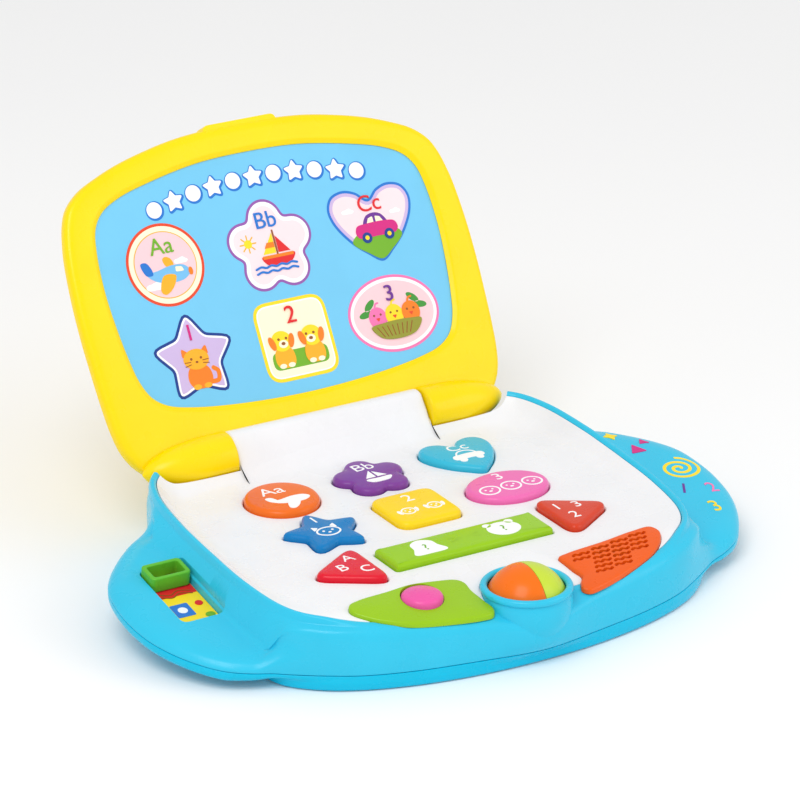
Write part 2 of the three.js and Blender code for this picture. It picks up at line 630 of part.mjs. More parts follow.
// Piece of the lid carried from its own frame into place.
const inLid = (solid) => solid.rotate([-THREE.MathUtils.radToDeg(LEAN), 0, 0]).translate(HINGE);
const across = (radius, range, steps) => rod(radius, 'x', [0, 0, 0], range, steps);
const through = (radius, x, z, range) => rod(radius, 'y', [x, 0, z], range, 8);

// Opening between the lid's feet for the barrel.
const barrelGap = () => joined(
  box([-HUMP_HALF - 0.9, HUMP_HALF + 0.9], [-5, 25], [-20, 7.2]),
  across(HUMP_RADIUS + 0.8, [-HUMP_HALF - 0.9, HUMP_HALF + 0.9], 24));

// Cone about the middle of a foot of the lid.
const footCone = (profile, side) => turned(sided(profile, side), 'x', [0, 0.6, -4.9]);

// Foot of the lid: a taper towards the lid's corner, inside the room it turns in.
function toe(side) {
  const cone = footCone([
    [0, 57.5], [13.2, 57.5], [13.2, 66], [12.8, 75], [11.8, 84], [10.1, 92], [7.6, 99],
    [4.4, 104], [0, 107]], side);
  return cone.intersect(lidFoot(side)).intersect(box([-120, 120], [-20, LID_SPLIT], [-30, 30]));
}

// Hollow inside a foot, open to the rear cover.
const toeHollow = (side) => footCone([
  [0, 62.5], [10.7, 62.5], [10.7, 66], [10.3, 75], [9.3, 84], [7.6, 92], [0, 92]], side)
  .intersect(box([-100, 100], [-20, 20], [-5.2, 30]));

function lidFrame() {
  const front = ringSolid([
    lidRing(SCREEN, 2.5, LID_FRONT),
    lidRing(LID, -1.6, LID_FRONT),
    lidRing(LID, 0.6, LID_FRONT + 0.9),
    lidRing(LID, LID_FLARE, LID_FRONT + 2.8),
    lidRing(LID, LID_FLARE, LID_SPLIT),
    lidRing(LID, -WALL, LID_SPLIT),
    lidRing(LID, -WALL, LID_FRONT + 1.8),
    lidRing(SCREEN, 0, LID_FRONT + 1.8),
    lidRing(SCREEN, 0, LID_FRONT + 1.5),
  ], true);
  const tab = without(
    box([-21.5, 21.5], [4.3, LID_SPLIT], [158, 165.7]), box([-19, 19], [6.5, 12], [150, 163.2]));
  const sill = box([-60, 60], [LID_FRONT, LID_SPLIT], [5.3, 15.5]);
  const bosses = LID_SCREWS.map(([x, z]) => through(3.4, x, z, [LID_FRONT + 1, LID_SPLIT]));
  return without(
    joined(front, tab, sill, ...bosses, toe(1), toe(-1)),
    toeHollow(1),
    toeHollow(-1),
    barrelGap(),
    across(3.3, [-70, 70]),
    ...LID_SCREWS.map(([x, z]) => through(1.6, x, z, [LID_FRONT + 1.8, LID_SPLIT + 1])));
}

function lidBackCover() {
  const cover = ringSolid([
    lidRing(LID, -4, LID_BACK),
    lidRing(LID, -1, LID_BACK - 1.2),
    lidRing(LID, 0, LID_BACK - 3),
    lidRing(LID, LID_FLARE, LID_SPLIT + GAP),
    lidRing(LID, -WALL, LID_SPLIT + GAP),
    lidRing(LID, -WALL, LID_BACK - 3.4),
    lidRing(LID, -5, LID_BACK - 2.1),
  ]);
  const tab = box([-21.5, 21.5], [LID_SPLIT + GAP, 13], [160.5, 165.7]);
  const sill = box([-60, 60], [LID_SPLIT + GAP, LID_BACK - 1.5], [5.3, 9.7]);
  const wells = LID_SCREWS.map(([x, z]) => through(4, x, z, [LID_SPLIT + GAP, LID_BACK - 1.2]));
  return without(
    joined(cover, tab, sill, ...wells),
    barrelGap(),
    ...LID_SCREWS.map(([x, z]) => through(3.1, x, z, [11.5, 20])),
    ...LID_SCREWS.map(([x, z]) => through(1.6, x, z, [5, 20])));
}

const screenCard = () => ringSolid([
  lidRing(SCREEN, 1.8, LID_FRONT + 2.1), lidRing(SCREEN, 1.8, LID_FRONT + 3.3)]);

// Lid screw lying along the depth with its head towards the back.
const lidScrew = (x, z) => turned([[0, 5.4], [1.3, 6.2], [1.3, 11.8], [2.7, 11.8], [2.7, 13.4],
  [0, 13.4]], 'y', [x, 0, z], 8);

// Hinge pin between the arch and a foot of the lid, headed at the outer end.
function hingePin(side) {
  const profile = [[0, 50.5], [3, 50.5], [3, 63], [4.6, 63], [4.6, 66], [0, 66]];
  return turned(sided(profile, side), 'x', HINGE, 12);
}

// ---------------------------------------------------------------- assembly

const group = new THREE.Group();
group.name = 'toy_laptop';

function add(name, solid, color, roughness = 0.4, metalness = 0) {
  const material = new THREE.MeshStandardMaterial({ color, roughness, metalness });
  const mesh = new THREE.Mesh(geometryOf(solid), material);
  mesh.name = name;
  group.add(mesh);
}

const BLUE = 0x3fb4e6;
const YELLOW = 0xfbe30c;
const STEEL = 0xb9bcc0;

add('lower_shell', lowerShell(), 0x2f9fd6);
add('upper_shell', upperShell(), BLUE);
add('keyboard_panel', keyboardPanel(), 0xf7f8fa);
BUTTONS.forEach((b) => add(b.name, buttonSolid(b, 30.9, 38.7), b.colour));
add(PINK.name, buttonSolid(PINK, 26.9, 38), PINK.colour);
add('front_pad', frontPad(), 0xa4d23a);
add('speaker_grille', speakerGrille(), 0xf37a26);
add('ball_half_orange', ballHalf(-1), 0xf47a20, 0.3);
add('ball_half_lime', ballHalf(1), 0xcfe04a, 0.3);
add('ball_axle', rod(2, 'x', BALL, [-23.2, 23.2]), STEEL, 0.3, 1);
add('slider_ring', inSlot(without(box([-10.7, 10.7], [6.4, 20.4], [-4.4, 3.6]),
  box([-8.5, 8.5], [8.6, 18.2], [-6, 8]))), 0x5cb531);
add('slider_card', inSlot(box([-11, 11], [-26.5, 20.5], [-5.7, -4.7])), 0xf5d733, 0.7);
add('main_board', mainBoard(), 0x2e7d4f, 0.6);
add('contact_mat', contactMat(), 0x8b8f94, 0.9);
add('speaker_driver', speakerDriver(), 0x2b2d30, 0.5);
add('battery_door', batteryDoor(), 0x2f9fd6);
BATTERY_ROWS.forEach((y, i) => add(`battery_${i + 1}`, battery(y, i % 2 ? -1 : 1), 0xc27a2c, 0.35, 0.6));
add('battery_spring_strip', springStrip(), STEEL, 0.35, 1);
add('battery_plate_strip', plateStrip(), STEEL, 0.35, 1);
add('power_switch', powerSwitch(), 0x23262a, 0.6);
CASE_SCREWS.forEach(([x, y], i) => add(`case_screw_${i + 1}`, screw(x, y, 9.9, 22), STEEL, 0.35, 1));
add('door_screw', screw(...DOOR_SCREW, 0.3, 9, 1), STEEL, 0.35, 1);
add('lid_frame', inLid(lidFrame()), YELLOW);
add('lid_back_cover', inLid(lidBackCover()), YELLOW);
add('screen_card', inLid(screenCard()), 0x9fd8f2, 0.5);
LID_SCREWS.forEach(([x, z], i) => add(`lid_screw_${i + 1}`, inLid(lidScrew(x, z)), STEEL, 0.35, 1));
add('hinge_pin_left', hingePin(-1), STEEL, 0.35, 1);
add('hinge_pin_right', hingePin(1), STEEL, 0.35, 1);

export default group;
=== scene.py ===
import math

import bpy
import numpy as np
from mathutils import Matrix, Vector
from mathutils.bvhtree import BVHTree
from mathutils.geometry import delaunay_2d_cdt


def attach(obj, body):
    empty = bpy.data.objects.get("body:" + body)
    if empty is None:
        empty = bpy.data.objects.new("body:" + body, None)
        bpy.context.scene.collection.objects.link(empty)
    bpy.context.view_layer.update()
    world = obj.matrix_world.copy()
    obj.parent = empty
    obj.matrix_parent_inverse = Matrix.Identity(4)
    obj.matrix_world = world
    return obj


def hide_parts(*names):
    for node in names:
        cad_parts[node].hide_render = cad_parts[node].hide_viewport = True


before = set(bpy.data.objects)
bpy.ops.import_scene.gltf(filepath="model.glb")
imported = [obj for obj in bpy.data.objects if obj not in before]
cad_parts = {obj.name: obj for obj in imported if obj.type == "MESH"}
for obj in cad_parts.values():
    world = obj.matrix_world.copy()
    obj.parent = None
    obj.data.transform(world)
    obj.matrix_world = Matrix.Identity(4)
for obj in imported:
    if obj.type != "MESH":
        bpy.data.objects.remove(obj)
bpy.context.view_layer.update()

MM = 0.001
GAP = 0.3  # clearance between neighbouring mouldings
WALL = 2.5  # moulded wall thickness
COLUMNS = 360  # points round each ring of the base
LID_COLUMNS = 300  # points round each ring of the lid

# ---------------------------------------------------------------- outlines


def mix(a, b, share):
    return a + (b - a) * share


def smooth(value, low, high):
    t = np.clip((value - low) / (high - low), 0, 1)
    return t * t * (3 - 2 * t)


def mirrored(half):
    """Closed outline from its right half, listed front to back."""
    return list(half) + [(-x, y) for x, y in reversed(half) if x > 0]


def evenly(points, count):
    """Closed outline resampled at equal steps along it."""
    closed = np.vstack([points, points[:1]])
    steps = np.linalg.norm(np.diff(closed, axis=0), axis=1)
    along = np.concatenate([[0], np.cumsum(steps)])
    at = np.linspace(0, along[-1], count, endpoint=False)
    return np.stack([np.interp(at, along, closed[:, k]) for k in (0, 1)], axis=1)


def splined(points, count=360):
    """Smooth closed curve through the points, with centripetal spacing."""
    p = np.array(points, float)
    share = np.linspace(0, 1, 24, endpoint=False)[:, None]
    spans = []
    for i in range(len(p)):
        p0, p1, p2, p3 = (p[(i + k) % len(p)] for k in (-1, 0, 1, 2))
        d0, d1, d2 = (math.sqrt(np.linalg.norm(b - a)) for a, b in ((p0, p1), (p1, p2), (p2, p3)))
        leave = ((p1 - p0) / d0 - (p2 - p0) / (d0 + d1) + (p2 - p1) / d1) * d1
        arrive = ((p2 - p1) / d1 - (p3 - p1) / (d1 + d2) + (p3 - p2) / d2) * d1
        s2, s3 = share ** 2, share ** 3
        spans.append((2 * s3 - 3 * s2 + 1) * p1 + (s3 - 2 * s2 + share) * leave
                     + (3 * s2 - 2 * s3) * p2 + (s3 - s2) * arrive)
    return evenly(np.concatenate(spans), count)


def rounded(points, radius, steps=8):
    """Polygon with every corner rounded to about the radius."""
    p = np.array(points, float)
    result = []
    for i, here in enumerate(p):
        back = p[i - 1] - here
        on = p[(i + 1) % len(p)] - here
        back = back / np.linalg.norm(back)
        on = on / np.linalg.norm(on)
        reach = radius / math.tan(math.acos(np.clip(back @ on, -1, 1)) / 2)
        for t in np.linspace(0, 1, steps):
            result.append((1 - t) ** 2 * (here + back * reach) + 2 * t * (1 - t) * here
                          + t ** 2 * (here + on * reach))
    return np.array(result)


def rectangle(width, depth, radius=0.0, at=(0, 0)):
    w, d = width / 2, depth / 2
    corners = np.array([(-w, -d), (w, -d), (w, d), (-w, d)]) + np.array(at)
    return rounded(corners, radius) if radius else corners


def ellipse(width, depth=None, at=(0, 0), count=72, turn=0.0):
    """Ellipse by its full width and depth, turned about its middle."""
    a = np.linspace(0, 2 * np.pi, count, endpoint=False) + np.pi / 2
    x = 0.5 * width * np.cos(a)
    y = 0.5 * (depth or width) * np.sin(a)
    c, s = math.cos(turn), math.sin(turn)
    return np.stack([at[0] + c * x - s * y, at[1] + s * x + c * y], axis=1)


def star(outer, inner, tips=5, at=(0, 0), radius=0.0, turn=0.0):
    a = np.pi / 2 + turn + np.arange(2 * tips) * np.pi / tips
    r = np.where(np.arange(2 * tips) % 2, inner, outer)
    points = np.stack([r * np.cos(a), r * np.sin(a)], axis=1)
    return (rounded(points, radius, 5) if radius else points) + np.array(at)


def grown(points, distance):
    """Outline pushed outwards by the distance, or inwards when it is negative."""
    before, after = np.roll(points, 1, axis=0), np.roll(points, -1, axis=0)

    def outward(a, b):
        d = b - a
        n = np.stack([d[:, 1], -d[:, 0]], axis=1)
        return n / np.maximum(np.linalg.norm(n, axis=1, keepdims=True), 1e-9)

    first, second = outward(before, points), outward(points, after)
    normal = first + second
    normal /= np.maximum(np.linalg.norm(normal, axis=1, keepdims=True), 1e-9)
    reach = distance / np.maximum((normal * first).sum(1, keepdims=True), 0.6)
    return points + reach * normal


def reaches(points, centre, count):
    """Distance from the centre to the outline along equally spaced directions."""
    a = np.arange(count) * 2 * np.pi / count
    direction = np.stack([np.cos(a), np.sin(a)], axis=1)[:, None, :]
    start = points[None]
    edge = np.roll(points, -1, axis=0)[None] - start
    to = start - np.array(centre)
    det = direction[..., 0] * edge[..., 1] - direction[..., 1] * edge[..., 0]
    det = np.where(np.abs(det) < 1e-9, 1e-9, det)
    along = (to[..., 0] * edge[..., 1] - to[..., 1] * edge[..., 0]) / det
    across = (to[..., 0] * direction[..., 1] - to[..., 1] * direction[..., 0]) / det
    hit = (along > 0) & (across >= -1e-6) & (across <= 1 + 1e-6)
    return np.where(hit, along, 1e9).min(axis=1)


# ---------------------------------------------------------------- meshes


def placed(name, data):
    """Object of the data, put into the scene."""
    obj = bpy.data.objects.new(name, data)
    bpy.context.scene.collection.objects.link(obj)
    return obj


def new_object(points, faces, name="tool"):
    """Object from millimetre points and faces."""
    mesh = bpy.data.meshes.new(name)
    mesh.from_pydata([tuple(p) for p in np.asarray(points, float) * MM], [], faces)
    return placed(name, mesh)


def filleted(rings, radii, loop, steps=5):
    """Rings with each flagged one replaced by a rounded corner, column by column."""
    rings = np.array(rings)
    last = len(rings) - 1
    result = []
    for k, here in enumerate(rings):
        if not radii[k] or (not loop and k in (0, last)):
            result.append(here)
            continue
        back, on = rings[k - 1] - here, rings[(k + 1) % len(rings)] - here
        far = [np.maximum(np.linalg.norm(v, axis=1, keepdims=True), 1e-6) for v in (back, on)]
        a = here + back * np.minimum(radii[k] / far[0], 0.48)
        b = here + on * np.minimum(radii[k] / far[1], 0.48)
        for t in np.linspace(0, 1, steps):
            result.append((1 - t) ** 2 * a + 2 * t * (1 - t) * here + t ** 2 * b)
    return np.array(result)


def loft(rings, radii=None, loop=False, name="tool"):
    """Closed solid through the rings: capped at both ends, or joined into a loop."""
    rings = np.array(rings)
    if radii is not None:
        rings = filleted(rings, radii, loop)
    layers, count = rings.shape[:2]
    points = rings.reshape(-1, 3)
    faces = []
    for r in range(layers if loop else layers - 1):
        low, high = r * count, ((r + 1) % layers) * count
        for i in range(count):
            j = (i + 1) % count
            faces.append((low + i, low + j, high + j, high + i))
    if not loop:
        first, last = len(points), (layers - 1) * count
        points = np.vstack([points, rings[0].mean(0), rings[-1].mean(0)])
        for i in range(count):
            j = (i + 1) % count
            faces.append((first, j, i))
            faces.append((first + 1, last + i, last + j))
    if signed_volume(points, faces) < 0:
        faces = [tuple(reversed(f)) for f in faces]
    return new_object(points, faces, name)


def signed_volume(points, faces):
    total = 0.0
    for f in faces:
        for a, b in zip(f[1:-1], f[2:]):
            total += np.dot(points[f[0]], np.cross(points[a], points[b]))
    return total


def flat(points, height):
    """Outline as a ring at one height, or at heights that follow it."""
    return np.column_stack([points, np.broadcast_to(height, len(points))])


def prism(points, low, high):
    return loft([flat(points, low), flat(points, high)])


def block(x, y, z):
    return prism(np.array([(x[0], y[0]), (x[1], y[0]), (x[1], y[1]), (x[0], y[1])]), *z)


def turned(profile, axis, at, steps=64, radii=None, name="tool"):
    """Solid turned from (radius, height) points about an axis; the ends lie on the axis."""
    a = np.arange(steps) * 2 * np.pi / steps
    rings = []
    for radius, height in profile:
        along = np.full(steps, float(height))
        u, v = max(radius, 1e-3) * np.cos(a), max(radius, 1e-3) * np.sin(a)
        order = {"x": (along, u, v), "y": (v, along, u), "z": (u, v, along)}[axis]
        rings.append(np.stack(order, axis=1) + np.array(at))
    return loft(rings, radii, name=name)


def rod(radius, axis, at, span, steps=48):
    return turned([(radius, span[0]), (radius, span[1])], axis, at, steps)


def globe(radius, at, steps=96):
    profile = [(radius * math.cos(t), radius * math.sin(t))
               for t in np.linspace(-np.pi / 2, np.pi / 2, steps // 2 + 1)]
    return turned(profile, "z", at, steps)


def combined(obj, tools, operation="DIFFERENCE"):
    """Cuts the tools from the object, joins them to it, or keeps only the overlap."""
    for tool in tools:
        change = obj.modifiers.new("change", "BOOLEAN")
        change.operation = operation
        change.object = tool
        change.solver = "MANIFOLD"
    settled(obj)
    for tool in tools:
        bpy.data.objects.remove(tool)
    return obj


def settled(obj):
    """Applies the object's modifiers to its mesh."""
    bpy.context.view_layer.update()
    graph = bpy.context.evaluated_depsgraph_get()
    mesh = bpy.data.meshes.new_from_object(obj.evaluated_get(graph))
    obj.modifiers.clear()
    obj.data = mesh
    return obj


def joined(obj, *tools):
    return combined(obj, tools, "UNION")


def without(obj, *tools):
    return combined(obj, tools)


def carried(obj, change):
    """Object with every point moved by a function of millimetre coordinates."""
    count = len(obj.data.vertices)
    flat_points = np.zeros(count * 3, np.float32)
    obj.data.vertices.foreach_get("co", flat_points)
    moved = change(flat_points.reshape(-1, 3) / MM) * MM
    obj.data.vertices.foreach_set("co", moved.astype(np.float32).ravel())
    obj.data.update()
    return obj


def piece(obj, name, body, slot, materials, nodes=(), crease=32.0):
    """Names the object, gives it its materials, shades it, ties it to its body and hides its CAD nodes."""
    obj.name = name
    obj.data.name = name
    obj.data.materials.clear()
    for material in materials if isinstance(materials, list) else [materials]:
        obj.data.materials.append(material)
    obj.data.shade_smooth()
    obj.data.set_sharp_from_angle(angle=math.radians(crease))
    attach(obj, body)
    if nodes:
        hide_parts(*nodes)
    return obj


# ---------------------------------------------------------------- materials


def linear(rgb):
    """Scene-linear colour of a 0-255 display colour."""
    c = np.array(rgb, float) / 255
    return tuple(np.where(c <= 0.04045, c / 12.92, ((c + 0.055) / 1.055) ** 2.4))


def set_inputs(node, **values):
    """Sets a node's constants; an underscore in a keyword stands for a space."""
    for key, value in values.items():
        node.inputs[key.replace("_", " ")].default_value = value


def noise(nodes, links, scale, detail, coordinates):
    node = nodes.new("ShaderNodeTexNoise")
    set_inputs(node, Scale=scale, Detail=detail)
    links.new(coordinates, node.inputs["Vector"])
    return node.outputs["Fac"]


def spread(nodes, links, source, low, high):
    """Source stretched from its middle range to low..high."""
    node = nodes.new("ShaderNodeMapRange")
    set_inputs(node, From_Min=0.3, From_Max=0.7, To_Min=low, To_Max=high)
    links.new(source, node.inputs["Value"])
    return node.outputs["Result"]


def surface(name, rgb, roughness=0.3, coat=0.3, metallic=0.0, cloud=40, grain=1500,
            relief=0.02, shift=0.015):
    """Moulded or printed surface: faint clouding of its colour, uneven gloss, fine grain."""
    material = bpy.data.materials.new(name)
    material.use_nodes = True
    nodes, links = material.node_tree.nodes, material.node_tree.links
    shader = nodes["Principled BSDF"]
    coordinates = nodes.new("ShaderNodeTexCoord").outputs["Object"]
    tone = nodes.new("ShaderNodeValToRGB")
    base = np.array(linear(rgb))
    tone.color_ramp.elements[0].position = 0.35
    tone.color_ramp.elements[0].color = (*np.clip(base * (1 - shift), 0, 1), 1)
    tone.color_ramp.elements[1].position = 0.65
    tone.color_ramp.elements[1].color = (*np.clip(base * (1 + shift), 0, 1), 1)
    links.new(noise(nodes, links, cloud, 3, coordinates), tone.inputs["Fac"])
    links.new(tone.outputs["Color"], shader.inputs["Base Color"])
    gloss = noise(nodes, links, cloud * 1.7, 4, coordinates)
    links.new(spread(nodes, links, gloss, roughness - 0.03, roughness + 0.05),
              shader.inputs["Roughness"])
    bump = nodes.new("ShaderNodeBump")
    set_inputs(bump, Strength=relief, Distance=0.0003)
    links.new(noise(nodes, links, grain, 2, coordinates), bump.inputs["Height"])
    links.new(bump.outputs["Normal"], shader.inputs["Normal"])
    set_inputs(shader, Metallic=metallic, Specular_IOR_Level=0.5 if metallic else 0.22,
               Coat_Weight=coat, Coat_Roughness=0.12)
    return material


PLASTIC = {name: surface("plastic_" + name, rgb, 0.27, 0.1) for name, rgb in {
    "blue": (48, 194, 228), "deep_blue": (0, 190, 226), "white": (238, 238, 240),
    "yellow": (255, 220, 0), "orange": (240, 110, 24), "purple": (126, 62, 152),
    "cyan": (52, 186, 216), "navy": (0, 122, 190), "sun": (252, 214, 20),
    "pink": (238, 110, 180), "hot_pink": (236, 88, 166), "red": (224, 16, 44),
    "rust": (214, 62, 30), "lime": (150, 200, 16), "pad_lime": (150, 196, 20),
    "pad_orange": (236, 94, 20), "ball_orange": (244, 112, 10), "ball_lime": (196, 218, 60),
    "green": (96, 184, 48), "black": (38, 40, 44)}.items()}

INK = {name: surface("ink_" + name, rgb, 0.38, 0.06, relief=0.01) for name, rgb in {
    "white": (250, 250, 250), "sky": (118, 200, 238), "cream": (255, 244, 214),
    "blush": (250, 208, 214), "pale_pink": (252, 226, 230), "lilac": (206, 184, 226),
    "mauve": (150, 92, 172), "purple": (110, 52, 150), "navy": (28, 62, 140),
    "blue": (40, 120, 208), "light_blue": (120, 190, 236), "red": (226, 40, 44),
    "orange": (244, 130, 34), "amber": (252, 178, 40), "yellow": (255, 222, 40),
    "green": (116, 178, 42), "leaf": (68, 150, 60), "olive": (150, 150, 52),
    "magenta": (214, 40, 130), "pink": (244, 120, 178), "brown": (150, 84, 34),
    "border_red": (232, 74, 40)}.items()}

STEEL = surface("steel", (186, 190, 196), 0.32, 0.0, 1.0, cloud=300, relief=0.05)
BOARD = surface("board", (44, 122, 78), 0.5, 0.3, cloud=180, shift=0.2)
RUBBER = surface("rubber", (140, 144, 148), 0.75, 0.0, cloud=120, relief=0.15)
CELL = surface("cell", (196, 120, 44), 0.35, 0.3, 0.4, cloud=90, shift=0.12)
CARD = surface("card", (252, 214, 40), 0.55, 0.1, cloud=120)

# ---------------------------------------------------------------- shape of the base

FRONT_EDGE = [(0, -119), (25, -118), (48, -115), (70, -110), (91, -102.5), (108, -92.5)]
BACK_EDGE = [(118.4, 63.2), (110.4, 80), (101, 92.6), (90, 101.6), (75, 108.5), (40, 114.5), (0, 117)]
SIDE_EDGE = [(121.5, -78), (125.5, -60), (127.5, -35), (128.2, -10), (128.5, 20), (127, 44)]
WING_EDGE = [
    (125.5, -80.5), (136, -76.2), (148, -68.8), (159.5, -54.5), (168, -36), (171, -18), (170.5, -2),
    (167.5, 12), (161.5, 22), (151.5, 33), (139, 43.5), (127, 50)]
PANEL_EDGE = [
    (0, -107), (25, -107), (50, -106), (67, -101.8), (85, -95), (98, -86.5), (107.5, -78),
    (113.5, -66), (117.8, -37), (118.3, -8), (118, 12), (117.3, 28), (113, 60), (105.3, 77),
    (94, 84), (0, 84)]
BODY = splined(mirrored(FRONT_EDGE + SIDE_EDGE + BACK_EDGE), 720)
WINGED = splined(mirrored(FRONT_EDGE + WING_EDGE + BACK_EDGE), 720)
PANEL = splined(mirrored(PANEL_EDGE), 720)
ANGLES = np.arange(COLUMNS) * 2 * np.pi / COLUMNS


def body(grow):
    return reaches(grown(BODY, grow), (0, 0), COLUMNS)


def winged(grow):
    return reaches(grown(WINGED, grow), (0, 0), COLUMNS)


def panel(grow):
    return reaches(grown(PANEL, grow), (0, 0), COLUMNS)


WING = smooth(winged(0) - body(0), 0, 14)  # 0 for plain body, 1 for full wing
FLOOR = 35  # top of the keyboard floor


def blend(plain, with_wing):
    return mix(plain, with_wing, WING)


def seam(y):
    return 8.5 + 0.165 * np.clip(y + 83, 0, 137)


def front_slope(y):
    return FLOOR + 0.2 * (y + 85)


def floor_at(y):
    return np.minimum(FLOOR, front_slope(y))


def rim(y):
    back_drop = 0.36 * np.maximum(y - 84, 0)
    return np.minimum(41.3 + 0.074 * np.minimum(y, 84), front_slope(y)) - back_drop


def towards_back(y):
    return smooth(y, -100, -80)


def shoulder(y):
    return rim(y) - mix(1.8, 3.5, towards_back(y)) + 2.5 * smooth(y, 84, 110)


def under_wing(y):
    return mix(4, np.maximum(4, seam(y) - 7), WING)


def base_ring(reach, height, bulge=0.0):
    """Ring of the base at the reaches and heights, swelling forward below the ball."""
    reach = reach + bulge * np.exp(-(reach * np.cos(ANGLES) / 25) ** 2) * (np.sin(ANGLES) < 0)
    y = reach * np.sin(ANGLES)
    return np.stack([reach * np.cos(ANGLES), y, np.broadcast_to(height(y), y.shape)], axis=1)


BALL = (0, -104.5, 26)
BALL_RADIUS = 20.5
BALL_ROOM = BALL_RADIUS + 0.7  # radius of the room that the ball spins in
COLLAR_RADIUS = 23.9
HINGE = (0, 93, 48)
LEAN = 0.537  # the open lid leans back this far, radians
HUMP_HALF = 56.5
HUMP_RADIUS = 7.7
FOOT_ROOM = 0.7  # clearance round the lid's feet
TROUGH_GROW = 3.7  # a trough's outside stands this far outside a foot
SCREW_BORE = 1.6
SPEAKER = (57, -90.5)
SWITCH = (-60, 58)
DOOR_SCREW = (85.5, 36)
CASE_SCREWS = [(side * x, y) for x, y in ((82, -94.5), (119.5, -5), (60, 105)) for side in (1, -1)]
LID_SCREWS = [(side * x, z) for x, z in ((107, 60), (106, 108), (72, 147)) for side in (1, -1)]


def mirrored_profile(profile, side):
    return profile if side > 0 else [(r, -h) for r, h in reversed(profile)]


def lid_foot(side, grow=0.0, at=HINGE):
    """Room that a foot of the lid turns in about the hinge line, or the blank it is cut from."""
    end = np.linspace(0, np.pi / 2, 12)[1:-1]
    profile = [(0, 57.5 - grow), (16 + grow, 57.5 - grow), (16 + grow, 94)]
    profile += [((16 + grow) * math.cos(t), 94 + (14 + grow) * math.sin(t)) for t in end]
    profile.append((0, 108 + grow))
    return turned(mirrored_profile(profile, side), "x", at, 96)


def feet(grow):
    return joined(lid_foot(1, grow), lid_foot(-1, grow))


def arch(inset, half, foot, edge=0.0):
    """Barrel over the hinge between the lid's feet, with an apron sloping to the keys."""
    radius = HUMP_RADIUS - inset
    turn = np.linspace(0, np.radians(120), 40)
    profile = [(HINGE[1] + radius, foot)]
    profile += [(HINGE[1] + radius * math.cos(t), HINGE[2] + radius * math.sin(t)) for t in turn]
    profile += [(83.2 + inset, 47.6), (79.6 + inset, 41.8), (76.4 + inset, 38.2), (72 + inset, 35.6),
                (66 + inset, foot)]
    outline = np.array(profile)
    rings = []
    for x, pull in ((-half, edge), (-half + edge, 0), (half - edge, 0), (half, edge)):
        ring = grown(outline, -pull)
        rings.append(np.column_stack([np.full(len(ring), float(x)), ring]))
    return loft(rings, [0, edge, edge, 0])


SLOT_TILT = math.atan(0.165)
SLOT_AT = np.array((-139, -7.5, 27.9))


def tilted(points, angle, at):
    """Points turned about the x axis by the angle and then carried to a place."""
    c, s = math.cos(angle), math.sin(angle)
    x, y, z = points.T
    return np.stack([x, c * y - s * z, s * y + c * z], axis=1) + np.array(at)


def in_slot(obj):
    return carried(obj, lambda p: tilted(p, SLOT_TILT, SLOT_AT))


def in_lid(obj):
    return carried(obj, lambda p: tilted(p, -LEAN, HINGE))


# ---------------------------------------------------------------- base mouldings


def door_outline(grow):
    low, high, left, right, out = 11.9 - grow, 60.1 + grow, 20.4 - grow, 79.6 + grow, 89.6 + grow
    return rounded([(left, low), (right, low), (right, 30 - grow), (out, 30 - grow),
                    (out, 42 + grow), (right, 42 + grow), (right, high), (left, high)], 1.5, 5)


def lower_shell():
    def under(lift):
        return lambda y: under_wing(y) + lift

    rings = [
        base_ring(body(-3), lambda y: 0),
        base_ring(body(-0.6), lambda y: 0.8),
        base_ring(body(0), under(0)),
        base_ring(blend(body(0), winged(-2.5)), under(1)),
        base_ring(winged(0), under(3), 2),
        base_ring(winged(0), seam, 3.5),
        base_ring(winged(-WALL), seam),
        base_ring(winged(-WALL), under(4)),
        base_ring(blend(body(-WALL), winged(-5)), under(3)),
        base_ring(body(-WALL), under(2.5)),
        base_ring(body(-3), lambda y: WALL)]
    shell = loft(rings, [0, 1, 2, 2, 3, 0.5, 0, 0, 0, 0, 0])
    wells = [rod(4.4, "z", (x, y, 0), (0.5, 16)) for x, y in CASE_SCREWS]
    joined(shell, *wells, block((18, 82), (9.5, 62.5), (1, 20.6)),
           rod(4.5, "z", (*DOOR_SCREW, 0), (2, 12)), rod(15.5, "z", (*SPEAKER, 0), (1, 16.2)))
    bores = [rod(3.3, "z", (x, y, 0), (-1, 12)) for x, y in CASE_SCREWS]
    mouths = [turned([(4.1, -0.5), (3.2, 0.8)], "z", (x, y, 0), 48) for x, y in CASE_SCREWS]
    window = rectangle(11.6, 5, 0.8, SWITCH)
    return without(shell, *bores, *mouths, globe(BALL_ROOM, BALL),
                   block((20, 80), (11.5, 60.5), (1.2, 18.6)),
                   prism(door_outline(GAP), -1, 2.6), rod(SCREW_BORE, "z", (*DOOR_SCREW, 0), (2, 10)),
                   rod(13, "z", (*SPEAKER, 0), (WALL, 17)), prism(window, -1, 3))


LEFT_PAD = [
    (-88.3, -87.4), (-83.8, -94.4), (-76.7, -100.6), (-64.8, -107.4), (-46.7, -112.2), (-31, -114.8),
    (-25, -114.6), (-22.4, -111), (-23.6, -103), (-24.8, -94), (-24.6, -87.2), (-27.4, -83.6),
    (-38.7, -80.6), (-50.5, -78.8), (-64, -79.8), (-80.4, -80.8), (-86.6, -82.8)]
RIGHT_PAD = [
    (31.4, -98.2), (32.4, -103.6), (29, -108), (27, -112.6), (29.6, -115.4), (37.6, -114.4),
    (51.5, -110.2), (66.5, -104.6), (79.5, -97.9), (87.1, -90.7), (89.8, -84.8), (87.2, -80.2),
    (75.9, -80.2), (58.6, -82.4), (35.2, -84.6), (29.8, -86.2), (30.4, -91.6)]


